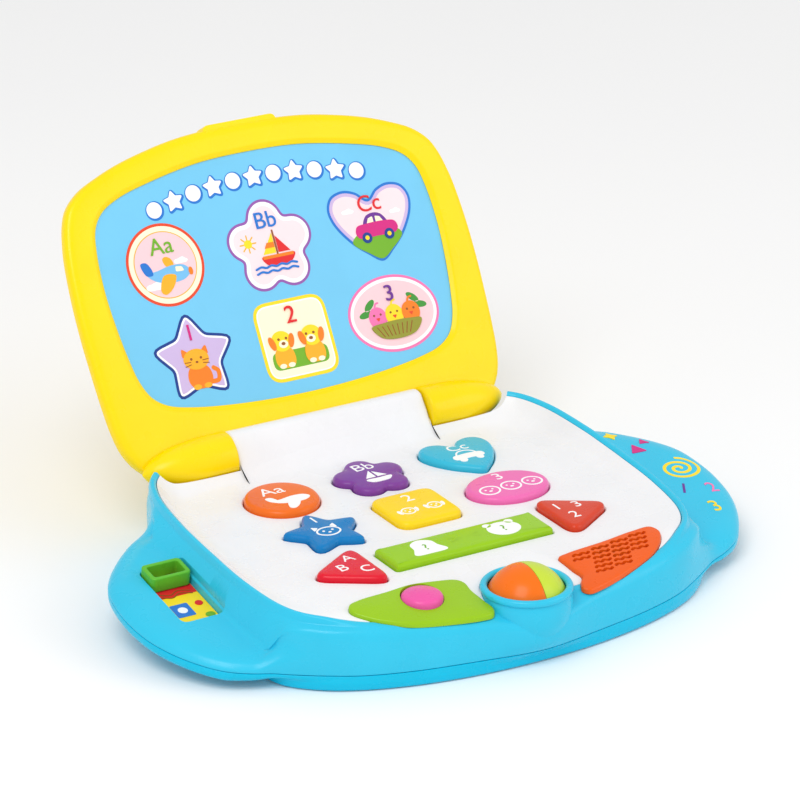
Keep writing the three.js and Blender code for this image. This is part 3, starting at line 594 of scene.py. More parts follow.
def pad_rings(side, grow, lifts, edges):
    """Rings of a front pad at heights above the sloping front, each pulled in by its edge."""
    outline = grown(splined(RIGHT_PAD if side > 0 else LEFT_PAD, 240), grow)
    rings = []
    for lift, edge in zip(lifts, edges):
        ring = grown(outline, -edge)
        rings.append(flat(ring, front_slope(ring[:, 1]) + lift))
    return rings


def pad_pocket(side):
    return loft(pad_rings(side, GAP, (-1, 12), (0, 0)))


def collar():
    """Cup round the ball with a rolled lip."""
    cup = combined(globe(COLLAR_RADIUS - 1, BALL), [block((-30, 30), (-140, -70), (9.2, 35.2))],
                   "INTERSECT")
    lip_radius, lip_height, lip = 20.9, 35.2, 1.9
    turn = np.linspace(0, 2 * np.pi, 24, endpoint=False)
    around = np.linspace(0, 2 * np.pi, 96, endpoint=False)
    rings = [np.stack([
        BALL[0] + (lip_radius + lip * math.cos(t)) * np.cos(around),
        BALL[1] + (lip_radius + lip * math.cos(t)) * np.sin(around),
        np.full(96, lip_height + lip * math.sin(t))], axis=1) for t in turn]
    return joined(cup, loft(rings, loop=True))


def upper_shell():
    def rise(y, share):
        return mix(seam(y), shoulder(y), share)

    def inner(y, share):
        return mix(seam(y), shoulder(y) - WALL, share)

    def bead(y):
        return rim(y) + 1.3 * towards_back(y)

    def lip(y):
        return rim(y) - mix(0.7, 2.5, towards_back(y))

    rings = [
        base_ring(winged(0), lambda y: seam(y) + GAP, 3.5),
        base_ring(winged(0), lambda y: mix(rise(y, 0.3), seam(y) + 1.5, WING), 6),
        base_ring(blend(body(-0.8), winged(-2.5)), lambda y: mix(rise(y, 0.6), seam(y) + 4.4, WING), 7.6),
        base_ring(blend(body(-1.5), winged(-9)), lambda y: mix(rise(y, 0.85), seam(y) + 6.2, WING), 8),
        base_ring(blend(body(-2.8), body(1.5)), lambda y: mix(shoulder(y), seam(y) + 7.2, WING), 7),
        base_ring(panel(4.4), lip),
        base_ring(panel(3.2), bead),
        base_ring(panel(1.4), bead),
        base_ring(panel(GAP), rim),
        base_ring(panel(GAP), lambda y: rim(y) - 5),
        base_ring(panel(GAP + WALL), lambda y: rim(y) - 5),
        base_ring(blend(body(-5), body(-1)), lambda y: mix(shoulder(y) - WALL, seam(y) + 4.7, WING)),
        base_ring(blend(body(-4), winged(-11)), lambda y: mix(inner(y, 0.8), seam(y) + 3.8, WING)),
        base_ring(blend(body(-3.2), winged(-4.8)), lambda y: mix(inner(y, 0.5), seam(y) + 2.2, WING)),
        base_ring(winged(-WALL), lambda y: mix(inner(y, 0.25), seam(y) + 1, WING)),
        base_ring(winged(-WALL), lambda y: seam(y) + GAP)]
    shell = loft(rings, [0.5, 3, 3, 4, 2.5, 0.6, 0.7, 0.7, 0.3] + [0] * 7, loop=True)
    troughs = combined(feet(TROUGH_GROW), [block((-112, 112), (84 + GAP, 114), (20, 38))], "INTERSECT")
    tub = in_slot(prism(rectangle(26.6, 51.6, 5, (0, -3)), -8, -1))
    housing = prism(grown(BODY, -WALL - 1.3), 0, 60)
    joined(shell, combined(troughs, [housing], "INTERSECT"), collar(), tub)
    hump_back = HINGE[1] + HUMP_RADIUS + GAP
    slot = rectangle(22.6, 47.6, 3.4, (0, -3))
    pocket = in_slot(loft([flat(slot, -6), flat(slot, -0.9), flat(grown(slot, 0.8), 0.2),
                           flat(grown(slot, 0.8), 14)]))
    return without(shell, globe(BALL_ROOM, BALL), rod(2.8, "x", BALL, (-26, 26)), feet(FOOT_ROOM),
                   block((-HUMP_HALF - GAP, HUMP_HALF + GAP), (80, hump_back), (30, 60)),
                   pad_pocket(1), pad_pocket(-1), pocket)


# ---------------------------------------------------------------- buttons


def petals(width, lobes=5):
    """Flower outline: round lobes with soft notches between them, one lobe to the back."""
    a = np.linspace(0, 2 * np.pi, 360, endpoint=False)
    lobe = 0.205 * width
    centre = width / 2 - lobe
    off = np.abs((a - np.pi / 2 + np.pi / lobes) % (2 * np.pi / lobes) - np.pi / lobes)
    far = lobe ** 2 - (centre * np.sin(off)) ** 2
    reach = centre * np.cos(off) + np.sqrt(np.maximum(far, 0.0))
    around = np.exp(-0.5 * (np.arange(-12, 13) / 4.5) ** 2)
    wrapped = np.concatenate([reach[-12:], reach, reach[:12]])
    reach = np.convolve(wrapped, around / around.sum(), "valid")
    return evenly(np.stack([reach * np.cos(a), reach * np.sin(a)], axis=1), 240)


HEART = splined(mirrored([
    (0, -20), (6.5, -15), (13, -8), (19, 3), (20, 11), (17, 17), (11, 19), (5, 17), (0, 12.5)]), 200)
BUTTONS = {
    "circle": ((-53, 43), ellipse(38.4, count=120), "orange"),
    "flower": ((0, 44.4), petals(40), "purple"),
    "heart": ((54.5, 43), HEART, "cyan"),
    "star": ((-54, -3), star(24.6, 12.8, radius=4.0), "navy"),
    "square": ((0, -0.5), rectangle(36, 36, 7), "sun"),
    "oval": ((53.3, -1), ellipse(45, 34, count=120), "pink"),
    "triangle_left": ((-64.4, -47.3), rounded([(11.5, 22), (-23, 0.3), (11.5, -22)], 6), "red"),
    "triangle_right": ((64.2, -44.6), rounded([(-11.5, -22), (23, 0.3), (-11.5, 22)], 6), "rust"),
    "bar": ((0, -46.7), rectangle(90, 23, 1.5), "lime"),
}
PINK_AT = (-50.5, -90.5)
PINK_WINDOW = 21.4  # width of the window round the pink button
BUTTON_SLOT = {
    "circle": "orange", "flower": "purple", "heart": "teal", "star": "deep_blue", "square": "sun",
    "oval": "pink", "triangle_left": "red", "triangle_right": "red", "bar": "lime"}


def button(outline, at, flange, top, fillet=2.4, dome=0.35):
    """Cap with a softly rounded edge, a faint dome, a retaining flange and a stem."""
    def ring(grow, height, scale=1.0):
        return flat(grown(outline, grow) * scale + np.array(at), height)

    rings = [ring(-2, top - 3.4), ring(-2, flange), ring(1, flange), ring(1, flange + 1.2),
             ring(0, flange + 1.2)]
    for t in np.linspace(0, np.pi / 2, 8):
        rings.append(ring(fillet * (math.cos(t) - 1), top - dome + fillet * (math.sin(t) - 1)))
    for share in (0.8, 0.6, 0.4, 0.2):
        rings.append(ring(-fillet, top - dome * share ** 2, share))
    return joined(loft(rings), rod(3, "z", (*at, 0), (28, top - 1.6), 32))


def window_cutter(outline, at):
    edge = outline + np.array(at)
    lip = [(0.4, 20), (0.4, FLOOR - 0.9), (0.65, FLOOR - 0.35), (1.2, FLOOR + 0.02), (1.2, 50)]
    return loft([flat(grown(edge, grow), z) for grow, z in lip])


def keyboard_panel():
    def wall(share, lift=0.0):
        return lambda y: mix(floor_at(y), rim(y), share + lift * smooth(y, 50, 78))

    rings = [
        base_ring(panel(-20), lambda y: FLOOR),
        base_ring(panel(-12), wall(0, 0.1)),
        base_ring(panel(-6), wall(0.22, 0.3)),
        base_ring(panel(-2.2), wall(0.68, 0.12)),
        base_ring(panel(0), rim),
        base_ring(panel(0), lambda y: rim(y) - 5.3),
        base_ring(panel(1.5), lambda y: rim(y) - 5.3),
        base_ring(panel(1.5), lambda y: rim(y) - 7.3),
        base_ring(panel(-2.5), lambda y: rim(y) - 7.3),
        base_ring(panel(-4.5), lambda y: wall(0.45)(y) - 2.8),
        base_ring(panel(-8), lambda y: wall(0.15)(y) - 2.6),
        base_ring(panel(-13), lambda y: floor_at(y) - 2.6),
        base_ring(panel(-20), lambda y: FLOOR - WALL)]
    dish = loft(rings, [0, 4, 3, 3, 0.5] + [0] * 8)
    without(dish, block((-HUMP_HALF, HUMP_HALF), (86.9, 110), (20, 60)))
    shelf = combined(feet(TROUGH_GROW), [block((-104, 104), (70, 84), (28, 34))], "INTERSECT")
    joined(dish, arch(0, HUMP_HALF, 34, 0.8), shelf)
    windows = [window_cutter(outline, at) for at, outline, _ in BUTTONS.values()]
    return without(
        dish, *windows, prism(ellipse(PINK_WINDOW, at=PINK_AT), 20, 50),
        prism(ellipse(23.6, at=PINK_AT), 10, 28.4), arch(WALL, HUMP_HALF - 4.5, 30),
        rod(3.3, "x", HINGE, (-HUMP_HALF - 1, HUMP_HALF + 1)), feet(FOOT_ROOM),
        globe(COLLAR_RADIUS - 0.7, BALL), rod(23.1, "z", (BALL[0], BALL[1], 0), (33, 50), 96),
        rod(8, "z", (*SPEAKER, 0), (20, 50)),
        pad_pocket(1), pad_pocket(-1))


# ---------------------------------------------------------------- lid

LID_EDGE = [
    (0, -6.4), (60, -6.6), (86, -6.6), (95, -5.8), (101.5, -2.8), (106.6, 2.6), (110.4, 10),
    (112.6, 20), (113.9, 34), (114.7, 50), (115.3, 70),
    (115, 90), (113.5, 110), (112, 119), (109.5, 128.5), (105.8, 136), (98, 143), (88, 147.8),
    (75, 152.6), (59, 156.8), (35, 161), (0, 162.5)]
SCREEN_EDGE = [
    (0, 18.8), (40, 20.5), (68, 24), (81, 27.5), (88.5, 33), (93, 42), (95.7, 55), (98, 75),
    (98.8, 92), (97.6, 112), (94.8, 124), (89, 131.5), (78, 137.2), (60, 142), (30, 147.2), (0, 148.4)]
LID = splined(mirrored(LID_EDGE), 600)
SCREEN = splined(mirrored(SCREEN_EDGE), 600)
LID_CENTRE = (0, 82)
FLARE = 1.6  # the front moulding stands this far outside the rear cover's back edge
LID_FRONT = 3.1
LID_SPLIT = 9
LID_BACK = 15.1
CARD_FRONT = LID_FRONT + 2.1
MIDDLE_HALF = 57.4  # half the opening between the feet
SILL_HALF = 60
PINS_HALF = 70


def lid_ring(edge, grow, depth):
    reach = reaches(grown(edge, grow), LID_CENTRE, LID_COLUMNS)
    a = np.arange(LID_COLUMNS) * 2 * np.pi / LID_COLUMNS
    return np.stack([reach * np.cos(a), np.full(LID_COLUMNS, float(depth)),
                     LID_CENTRE[1] + reach * np.sin(a)], axis=1)


def across(radius, span):
    return rod(radius, "x", (0, 0, 0), span, 96)


def through(radius, x, z, span):
    return rod(radius, "y", (x, 0, z), span, 32)


def grip(depth, height, radius):
    """Finger tab on the lid's top edge, rounded in plan."""
    outline = rectangle(43, height[1] - height[0], radius, (0, sum(height) / 2))
    rings = [np.stack([outline[:, 0], np.full(len(outline), float(d)), outline[:, 1]], axis=1)
             for d in depth]
    return loft(rings)


def toe(side):
    """Foot of the lid: a taper towards the lid's corner, inside the room it turns in."""
    reach = [(13.2, 57.5), (13.2, 66), (12.8, 75), (11.8, 84), (10.1, 92), (7.6, 99), (4.4, 104)]
    profile = mirrored_profile([(0, 57.5)] + reach + [(0, 107)], side)
    radii = [0, 1.5] + [6] * 6 + [0]
    cone = turned(profile, "x", (0, 0.6, -4.9), 96, radii if side > 0 else radii[::-1])
    return combined(cone, [lid_foot(side, 0, (0, 0, 0)), block((-120, 120), (-20, LID_SPLIT), (-30, 30))],
                    "INTERSECT")


def middle_gap():
    """Opening between the feet for the barrel."""
    return block((-MIDDLE_HALF, MIDDLE_HALF), (-5, 25), (-20, 7.2))


def barrel_room():
    return across(HUMP_RADIUS + 0.8, (-MIDDLE_HALF, MIDDLE_HALF))


def lid_frame():
    rings = [
        lid_ring(SCREEN, 2.5, LID_FRONT), lid_ring(LID, -1.6, LID_FRONT),
        lid_ring(LID, 0.6, LID_FRONT + 0.9), lid_ring(LID, FLARE, LID_FRONT + 2.8),
        lid_ring(LID, FLARE, LID_SPLIT), lid_ring(LID, -WALL, LID_SPLIT),
        lid_ring(LID, -WALL, LID_FRONT + 1.8), lid_ring(SCREEN, 0, LID_FRONT + 1.8),
        lid_ring(SCREEN, 0, LID_FRONT + 1.5)]
    frame_solid = loft(rings, [0.8, 2, 1.2, 2, 0.3, 0, 0, 0, 0.2], loop=True)
    bosses = [through(3.4, x, z, (LID_FRONT + 1, LID_SPLIT)) for x, z in LID_SCREWS]
    sill = block((-SILL_HALF, SILL_HALF), (LID_FRONT, LID_SPLIT), (5.3, 15.5))
    joined(frame_solid, grip((4.3, LID_SPLIT), (152, 165.7), 3.5), sill, *bosses, toe(1), toe(-1))
    bores = [through(SCREW_BORE, x, z, (LID_FRONT + 1.8, LID_SPLIT + 1)) for x, z in LID_SCREWS]
    without(frame_solid, middle_gap(), barrel_room(), across(3.3, (-PINS_HALF, PINS_HALF)), *bores)
    return in_lid(frame_solid)


def lid_back_cover():
    rings = [
        lid_ring(LID, -14, LID_BACK), lid_ring(LID, -5, LID_BACK - 0.1),
        lid_ring(LID, -1.4, LID_BACK - 1.2), lid_ring(LID, 0, LID_BACK - 3.4),
        lid_ring(LID, FLARE, LID_SPLIT + GAP), lid_ring(LID, -WALL, LID_SPLIT + GAP),
        lid_ring(LID, -WALL, LID_BACK - 3.8), lid_ring(LID, -5, LID_BACK - 2.3)]
    cover = loft(rings, [0, 3, 2.5, 2.5, 0.3, 0, 0, 0])
    wells = [through(4, x, z, (LID_SPLIT + GAP, LID_BACK - 1.2)) for x, z in LID_SCREWS]
    sill = block((-SILL_HALF, SILL_HALF), (LID_SPLIT + GAP, LID_BACK - 1.5), (5.3, 9.7))
    joined(cover, grip((LID_SPLIT + GAP, 13), (156, 165.7), 3.5), sill, *wells)
    heads = [through(3.1, x, z, (11.5, 20)) for x, z in LID_SCREWS]
    bores = [through(SCREW_BORE, x, z, (5, 20)) for x, z in LID_SCREWS]
    without(cover, middle_gap(), barrel_room(), across(5, (-PINS_HALF, PINS_HALF)), *heads, *bores)
    return in_lid(cover)


def screen_card():
    return in_lid(loft([lid_ring(SCREEN, 1.8, CARD_FRONT), lid_ring(SCREEN, 1.8, LID_FRONT + 3.3)]))


# ---------------------------------------------------------------- prints


def inside(points, loops):
    """Which points lie inside the loops, counting holes."""
    result = np.zeros(len(points), bool)
    x, y = points[:, 0:1], points[:, 1:2]
    for loop in loops:
        a, b = loop[None], np.roll(loop, -1, axis=0)[None]
        crosses = (a[..., 1] > y) != (b[..., 1] > y)
        rise = np.where(b[..., 1] == a[..., 1], 1e-9, b[..., 1] - a[..., 1])
        at = a[..., 0] + (y - a[..., 1]) * (b[..., 0] - a[..., 0]) / rise
        result ^= ((crosses & (x < at)).sum(1) % 2).astype(bool)
    return result


def filled(loops, spacing):
    """Triangles that fill the loops, with inner points at the spacing when it is given."""
    points = [tuple(p) for loop in loops for p in loop]
    edges = []
    start = 0
    for loop in loops:
        count = len(loop)
        edges += [(start + i, start + (i + 1) % count) for i in range(count)]
        start += count
    if spacing:
        low, high = np.min(points, axis=0), np.max(points, axis=0)
        grid = np.stack(np.meshgrid(np.arange(low[0], high[0], spacing),
                                    np.arange(low[1], high[1], spacing)), axis=-1).reshape(-1, 2)
        points += [tuple(p) for p in grid[inside(grid, loops)]]
    made = delaunay_2d_cdt([Vector(p) for p in points], edges, [], 0, 1e-5, False)
    corners = np.array([tuple(v) for v in made[0]])
    faces = np.array([tuple(f) for f in made[2]])
    keep = inside(corners[faces].mean(axis=1), loops)
    return corners, faces[keep]


def printed(name, body_name, slot, place, items, spacing=0.0, step=0.05):
    """Printed picture: thin layers of ink, each a little higher than the one below."""
    points, faces, shades, inks = [], [], [], []
    for layer, (ink, loops) in enumerate(items):
        corners, triangles = filled(loops, spacing)
        if ink not in inks:
            inks.append(ink)
        top = place(corners, step * (layer + 2))
        bottom = place(corners, -0.1)
        start = sum(len(p) for p in points)
        points += [top, bottom]
        count = len(corners)
        used = {}
        for a, b, c in triangles:
            faces.append((start + a, start + b, start + c))
            faces.append((start + count + c, start + count + b, start + count + a))
            for edge in ((a, b), (b, c), (c, a)):
                used[edge] = True
        faces += [(start + b, start + a, start + count + a, start + count + b)
                  for a, b in used if (b, a) not in used]
        shades += [inks.index(ink)] * (len(faces) - len(shades))
    obj = new_object(np.vstack(points), faces, name)
    made = piece(obj, name, body_name, slot, [INK[ink] for ink in inks])
    made.data.polygons.foreach_set("material_index", shades)
    return made


def on_card(centre=(0, 0), depth=CARD_FRONT):
    """Places a picture on the lid's card."""
    def place(points, lift):
        x, z = points.T
        local = np.stack([x + centre[0], np.full(len(x), depth - lift), z + centre[1]], axis=1)
        return tilted(local, -LEAN, HINGE)
    return place


def on_top(obj, centre=(0, 0)):
    """Places a picture on an object's upper surface."""
    tree = BVHTree.FromPolygons([v.co.copy() for v in obj.data.vertices],
                                [tuple(p.vertices) for p in obj.data.polygons])

    def place(points, lift):
        result = []
        for x, y in points + np.array(centre):
            hit = tree.ray_cast(Vector((x * MM, y * MM, 0.2)), Vector((0, 0, -1)))[0]
            result.append((x, y, hit.z / MM + lift))
        return np.array(result)
    return place


def glyphs(text, size, at=(0, 0), turn=0.0, weight=0.05):
    """Loops of generic letters or digits from the built-in font."""
    curve = bpy.data.curves.new("glyphs", "FONT")
    curve.body = text
    curve.size = size
    curve.align_x = "CENTER"
    curve.align_y = "CENTER"
    curve.resolution_u = 5
    curve.offset = weight * size
    curve.fill_mode = "NONE"
    obj = placed("glyphs", curve)
    bpy.context.view_layer.update()
    mesh = bpy.data.meshes.new_from_object(obj.evaluated_get(bpy.context.evaluated_depsgraph_get()))
    follow = {}
    for edge in mesh.edges:
        a, b = edge.vertices
        follow.setdefault(a, []).append(b)
        follow.setdefault(b, []).append(a)
    loops = []
    left = set(follow)
    while left:
        here = min(left)
        loop = []
        while here is not None:
            left.discard(here)
            loop.append(tuple(mesh.vertices[here].co)[:2])
            here = next((n for n in follow[here] if n in left), None)
        loops.append(turned_flat(np.array(loop), turn) + np.array(at))
    bpy.data.objects.remove(obj)
    bpy.data.meshes.remove(mesh)
    return loops


def turned_flat(points, turn):
    c, s = math.cos(turn), math.sin(turn)
    return points @ np.array([(c, s), (-s, c)])


def stroke(points, width, smoothly=True):
    """Loop along both sides of an open line, with round ends."""
    p = np.array(points, float)
    if smoothly and len(p) > 2:
        p = open_curve(p, np.linspace(0, len(p) - 1, 8 * len(p)))
    d = np.gradient(p, axis=0)
    d /= np.linalg.norm(d, axis=1, keepdims=True)
    n = np.stack([-d[:, 1], d[:, 0]], axis=1) * width / 2

    def cap(centre, start):
        a = np.linspace(0, np.pi, 8)[1:-1]
        first = math.atan2(start[1], start[0])
        r = width / 2
        return [centre + r * np.array((math.cos(first - t), math.sin(first - t))) for t in a]

    return np.array(list(p + n) + cap(p[-1], n[-1]) + list((p - n)[::-1]) + cap(p[0], -n[0]))


def open_curve(p, fine):
    """Smooth open curve through the points by local cubic pieces, at fractional places."""
    slope = np.gradient(p, axis=0)
    i = np.clip(fine.astype(int), 0, len(p) - 2)
    s = (fine - i)[:, None]
    return ((2 * s ** 3 - 3 * s ** 2 + 1) * p[i] + (s ** 3 - 2 * s ** 2 + s) * slope[i]
            + (3 * s ** 2 - 2 * s ** 3) * p[i + 1] + (s ** 3 - s ** 2) * slope[i + 1])


def at_scale(loops, scale, at=(0, 0), turn=0.0):
    return [turned_flat(np.asarray(loop) * scale, turn) + np.array(at) for loop in loops]


# ---------------------------------------------------------------- pictures of the lid


def disc(x, y, width, depth=None, turn=0.0, count=48):
    return ellipse(width, depth, (x, y), count, turn=turn)


def cloud(x, y, scale):
    """Small cloud with a flat foot."""
    outline = splined([(-6, -1.6), (0, -2), (6, -1.6), (7.4, 0.4), (5, 2), (2.6, 3.8), (-0.6, 3.2),
                       (-2.6, 2.6), (-5.4, 2.2), (-7.2, 0.6)], 60)
    return outline * scale + np.array((x, y))


def framed(shape, inks):
    """Bands of ink inside one another; each band is (ink, how far in it starts)."""
    return [(ink, [grown(shape, -inset)]) for ink, inset in inks]


def aeroplane():
    """Plain toy aeroplane flying to the right."""
    hull = splined([(-13, 1.5), (-9, -2.6), (0, -5), (9, -4.2), (13, -0.6), (10.5, 3.2), (3, 4.4),
                    (-6, 2.8)], 90)
    tail = splined([(-13.4, 1.2), (-9.6, 0.8), (-9.4, 3.4), (-12, 8.2), (-15.4, 8)], 50)
    wing = splined([(-3.4, -0.6), (3.8, -1.4), (1, -7.4), (-4.6, -11), (-7, -9.2)], 50)
    far_wing = splined([(-0.4, 4.2), (4, 4.2), (3.2, 8), (0, 9.6), (-1.8, 8.4)], 50)
    window = rounded([(4.4, 0.4), (9.6, 0.2), (8.4, 2.8), (4.6, 3.4)], 0.8, 4)
    return [("amber", [far_wing]), ("light_blue", [hull]), ("blue", [tail]), ("amber", [wing]),
            ("cream", [window]), ("orange", [disc(13.2, -0.6, 2.6, 4.4)])]


def sailing_boat():
    hull = splined([(-10, 0), (-7, -4.6), (0, -5.4), (7, -4.6), (10.4, 0), (0, 0.2)], 80)
    main = [np.array([(-0.8, 1.6), (-0.8, 13), (-8.6, 1.6)])]
    jib = [np.array([(0.8, 1.6), (8, 1.6), (0.8, 11)])]
    stripe = [np.array([(-0.8, 4.8), (-0.8, 7.8), (-5.1, 7.8), (-7, 4.8)][::-1])]
    mast = [rectangle(1, 15, at=(0, 7))]
    return [("brown", mast), ("yellow", main), ("orange", stripe), ("red", jib), ("red", [hull]),
            ("orange", [rectangle(19, 1.8, 0.6, (0, -0.2))])]


def little_car():
    roof = splined([(-7, 2.6), (-4.6, 8), (0, 9.4), (4.6, 8), (7.4, 2.6)], 60)
    hull = splined([(-12.4, 0), (-11, 3.4), (-6, 4.2), (6, 4.2), (11.6, 3), (12.8, -0.4), (11, -2.8),
                    (0, -3.2), (-11, -2.8)], 90)
    panes = [rounded([(-5, 3.6), (-0.6, 3.6), (-0.6, 7.6), (-3.4, 6.8)], 0.6, 4),
             rounded([(0.8, 3.6), (5.4, 3.6), (3.6, 6.8), (0.8, 7.6)], 0.6, 4)]
    wheels = [disc(-6.6, -3.2, 5.8), disc(6.8, -3.2, 5.8)]
    hubs = [disc(-6.6, -3.2, 2.4), disc(6.8, -3.2, 2.4)]
    return [("purple", [roof]), ("cream", panes), ("magenta", [hull]), ("navy", wheels),
            ("yellow", hubs)]


def kitten():
    """Sitting kitten of plain round shapes."""
    ears = [rounded([(-7, 5.2), (-3, 7.4), (-6.6, 10.4)], 0.8, 4),
            rounded([(7, 5.2), (6.6, 10.4), (3, 7.4)], 0.8, 4)]
    body_shape = splined([(-4.6, 0), (-6.4, -6), (-4, -9.6), (4, -9.6), (6.4, -6), (4.6, 0)], 60)
    tail = stroke([(5, -8), (9, -7.6), (9.8, -3.6), (7.8, -1.6)], 2.2)
    face = [disc(-2.6, 4.4, 1.3), disc(2.6, 4.4, 1.3), disc(0, 2.6, 1.5, 1.1)]
    whiskers = [stroke([(side * 3.2, 2.4 + k), (side * 6.2, 2.2 + 1.6 * k)], 0.4)
                for side in (1, -1) for k in (-0.6, 0.6)]
    feet_shape = [disc(-2.8, -9.2, 4.2, 2.6), disc(2.8, -9.2, 4.2, 2.6)]
    return [("orange", [tail]), ("orange", [body_shape]), ("amber", feet_shape), ("orange", ears),
            ("amber", [disc(0, 4, 13.4, 10)]), ("brown", face), ("brown", whiskers)]


def puppy(side):
    """Sitting puppy of plain round shapes, looking to one side."""
    body_shape = splined([(-3.6, 0), (-5, -5), (-3.6, -8), (3.6, -8), (5, -5), (3.6, 0)], 60)
    ears = [disc(-4.8, 3.2, 3, 6.6, 0.25), disc(4.8, 3.2, 3, 6.6, -0.25)]
    face = [disc(-1.9 + side, 4.6, 1.2), disc(1.9 + side, 4.6, 1.2), disc(side, 2.4, 2, 1.5)]
    paws = [disc(-2.2, -7.6, 3.4, 2.2), disc(2.2, -7.6, 3.4, 2.2)]
    return [("amber", [body_shape]), ("cream", paws), ("yellow", [disc(0, 3.6, 10, 9.4)]),
            ("orange", ears), ("cream", [disc(side, 2.2, 4.6, 3.6)]), ("brown", face)]


def chick():
    """Round chick in a nest."""
    tuft = stroke([(-0.6, 5.2), (0.4, 7.2), (1.8, 7.6)], 0.9)
    beak = rounded([(-1.3, 0.4), (1.3, 0.4), (0, -1.4)], 0.3, 3)
    return tuft, disc(0, 0.4, 9.6, 10.6), beak, [disc(-1.8, 1.9, 1.1), disc(1.8, 1.9, 1.1)]


def moved_items(items, scale, at):
    return [(ink, at_scale(loops, scale, at)) for ink, loops in items]


def on_lid(name, place, items):
    """Picture on the lid's card."""
    printed("picture_" + name, "lid", "card", place, items)


def lid_pictures():
    """The six pictures of the card, each one piece, and the plain shapes along its top."""
    circle = ellipse(43.8, count=96)
    on_lid("circle", on_card((-61.8, 98.7)),
            framed(circle, [("border_red", 0), ("cream", 1.5), ("amber", 4.2), ("blush", 4.7)])
            + [("white", [cloud(-8.5, -10.5, 0.75), cloud(9, 0.5, 0.55)])]
            + moved_items(aeroplane(), 0.94, (0.6, -5)) + [("green", glyphs("Aa", 12.5, (0, 9.6)))])
    flower = petals(51)
    waves = [stroke([(x, y + 0.8 * (k % 2)) for k, x in enumerate(np.arange(-12, 13, 3))], 1.1)
             for y in (-13.2, -10.6)]
    rays = [stroke([(2.6 * math.cos(a), 2.6 * math.sin(a)), (4.6 * math.cos(a), 4.6 * math.sin(a))],
                   0.7) + np.array((-13, 3.4)) for a in np.arange(8) * np.pi / 4]
    on_lid("flower", on_card((0, 97)),
            framed(flower, [("mauve", 0), ("white", 1.4), ("pale_pink", 3.6)])
            + [("amber", rays), ("yellow", [disc(-13, 3.4, 4.6)])]
            + moved_items(sailing_boat(), 0.95, (2.4, -5.2)) + [("blue", waves)]
            + [("blue", glyphs("Bb", 12.5, (0, 14)))])
    heart = HEART * np.array((1.24, 1.04))
    hill = [splined([(-15, -8.5), (-9, -4), (0, -6.6), (9, -3.4), (15, -8), (7, -15.5), (0, -19.5),
                     (-7, -15.5)], 90)]
    on_lid("heart", on_card((61.8, 98.4)),
            framed(heart, [("blue", 0), ("lilac", 1.4), ("pale_pink", 3.2)])
            + [("green", hill), ("white", [cloud(-13.5, 8, 0.5), cloud(14, 4, 0.45)])]
            + moved_items(little_car(), 1.0, (0.6, -4)) + [("red", glyphs("Cc", 12.5, (0, 10.4)))])
    star_shape = star(26.5, 15, radius=4.5)
    on_lid("star", on_card((-58.8, 48.2)),
            framed(star_shape, [("navy", 0), ("white", 1.5), ("lilac", 2.6)])
            + moved_items(kitten(), 1.08, (0, -4.8)) + [("magenta", glyphs("1", 12, (0, 13.2)))])
    square = rectangle(42.5, 42.5, 9)
    meadow = [rounded([(-16.4, -15), (16.4, -15), (16.4, -5.4), (-16.4, -5.4)], 4, 6)]
    on_lid("square", on_card((0, 47.4)),
            framed(square, [("yellow", 0), ("white", 1.8), ("cream", 2.6)])
            + [("green", meadow)] + moved_items(puppy(0.6), 1.16, (-8.8, -4.2))
            + moved_items(puppy(-0.6), 1.16, (8.8, -4.2)) + [("red", glyphs("2", 13, (0, 12.4)))])
    oval = ellipse(54, 41, count=96)
    nest = [splined([(-15, -5.4), (-8, -4.2), (0, -3.8), (8, -4.2), (15, -5.4), (10.5, -11.6), (0, -13.6),
                     (-10.5, -11.6)], 80)]
    twigs = [stroke([(-12 + 3 * k, -6), (-9 + 2.2 * k, -11.4)], 0.5) for k in range(8)]
    leaves = [disc(x, y, 8, 3.6, turn) for x, y, turn in
              ((-13, 6.4, 0.7), (-16.4, 2, 0.2), (13, 6.4, -0.7), (16.4, 2, -0.2))]
    birds = []
    for x, ink in ((-9, "pink"), (0, "yellow"), (9, "orange")):
        tuft, head, beak, eyes = chick()
        birds += moved_items([(ink, [tuft]), (ink, [head]), ("border_red", [beak]),
                              ("brown", eyes)], 1.1, (x * 1.1, -1.4))
    on_lid("oval", on_card((59.4, 49.4)),
            framed(oval, [("pink", 0), ("white", 1.4), ("blush", 3.2)]) + [("leaf", leaves)] + birds
            + [("olive", nest), ("brown", twigs), ("purple", glyphs("3", 12, (0, 10.6)))])
    beads = []
    for k, x in enumerate(np.linspace(-60, 60, 11)):
        z = 135 - 7.5 * (x / 60) ** 2
        beads.append((k, star(6.2, 3.3, at=(x, z), radius=0.7, turn=-0.1 * x / 60) if k % 2
                      else disc(x, z, 8.6)))
    shadows = [grown(loop, 0.9) + np.array((0.3, -0.4)) for _, loop in beads]
    on_lid("row", on_card(),
            [("blue", shadows), ("white", [loop for _, loop in beads])])


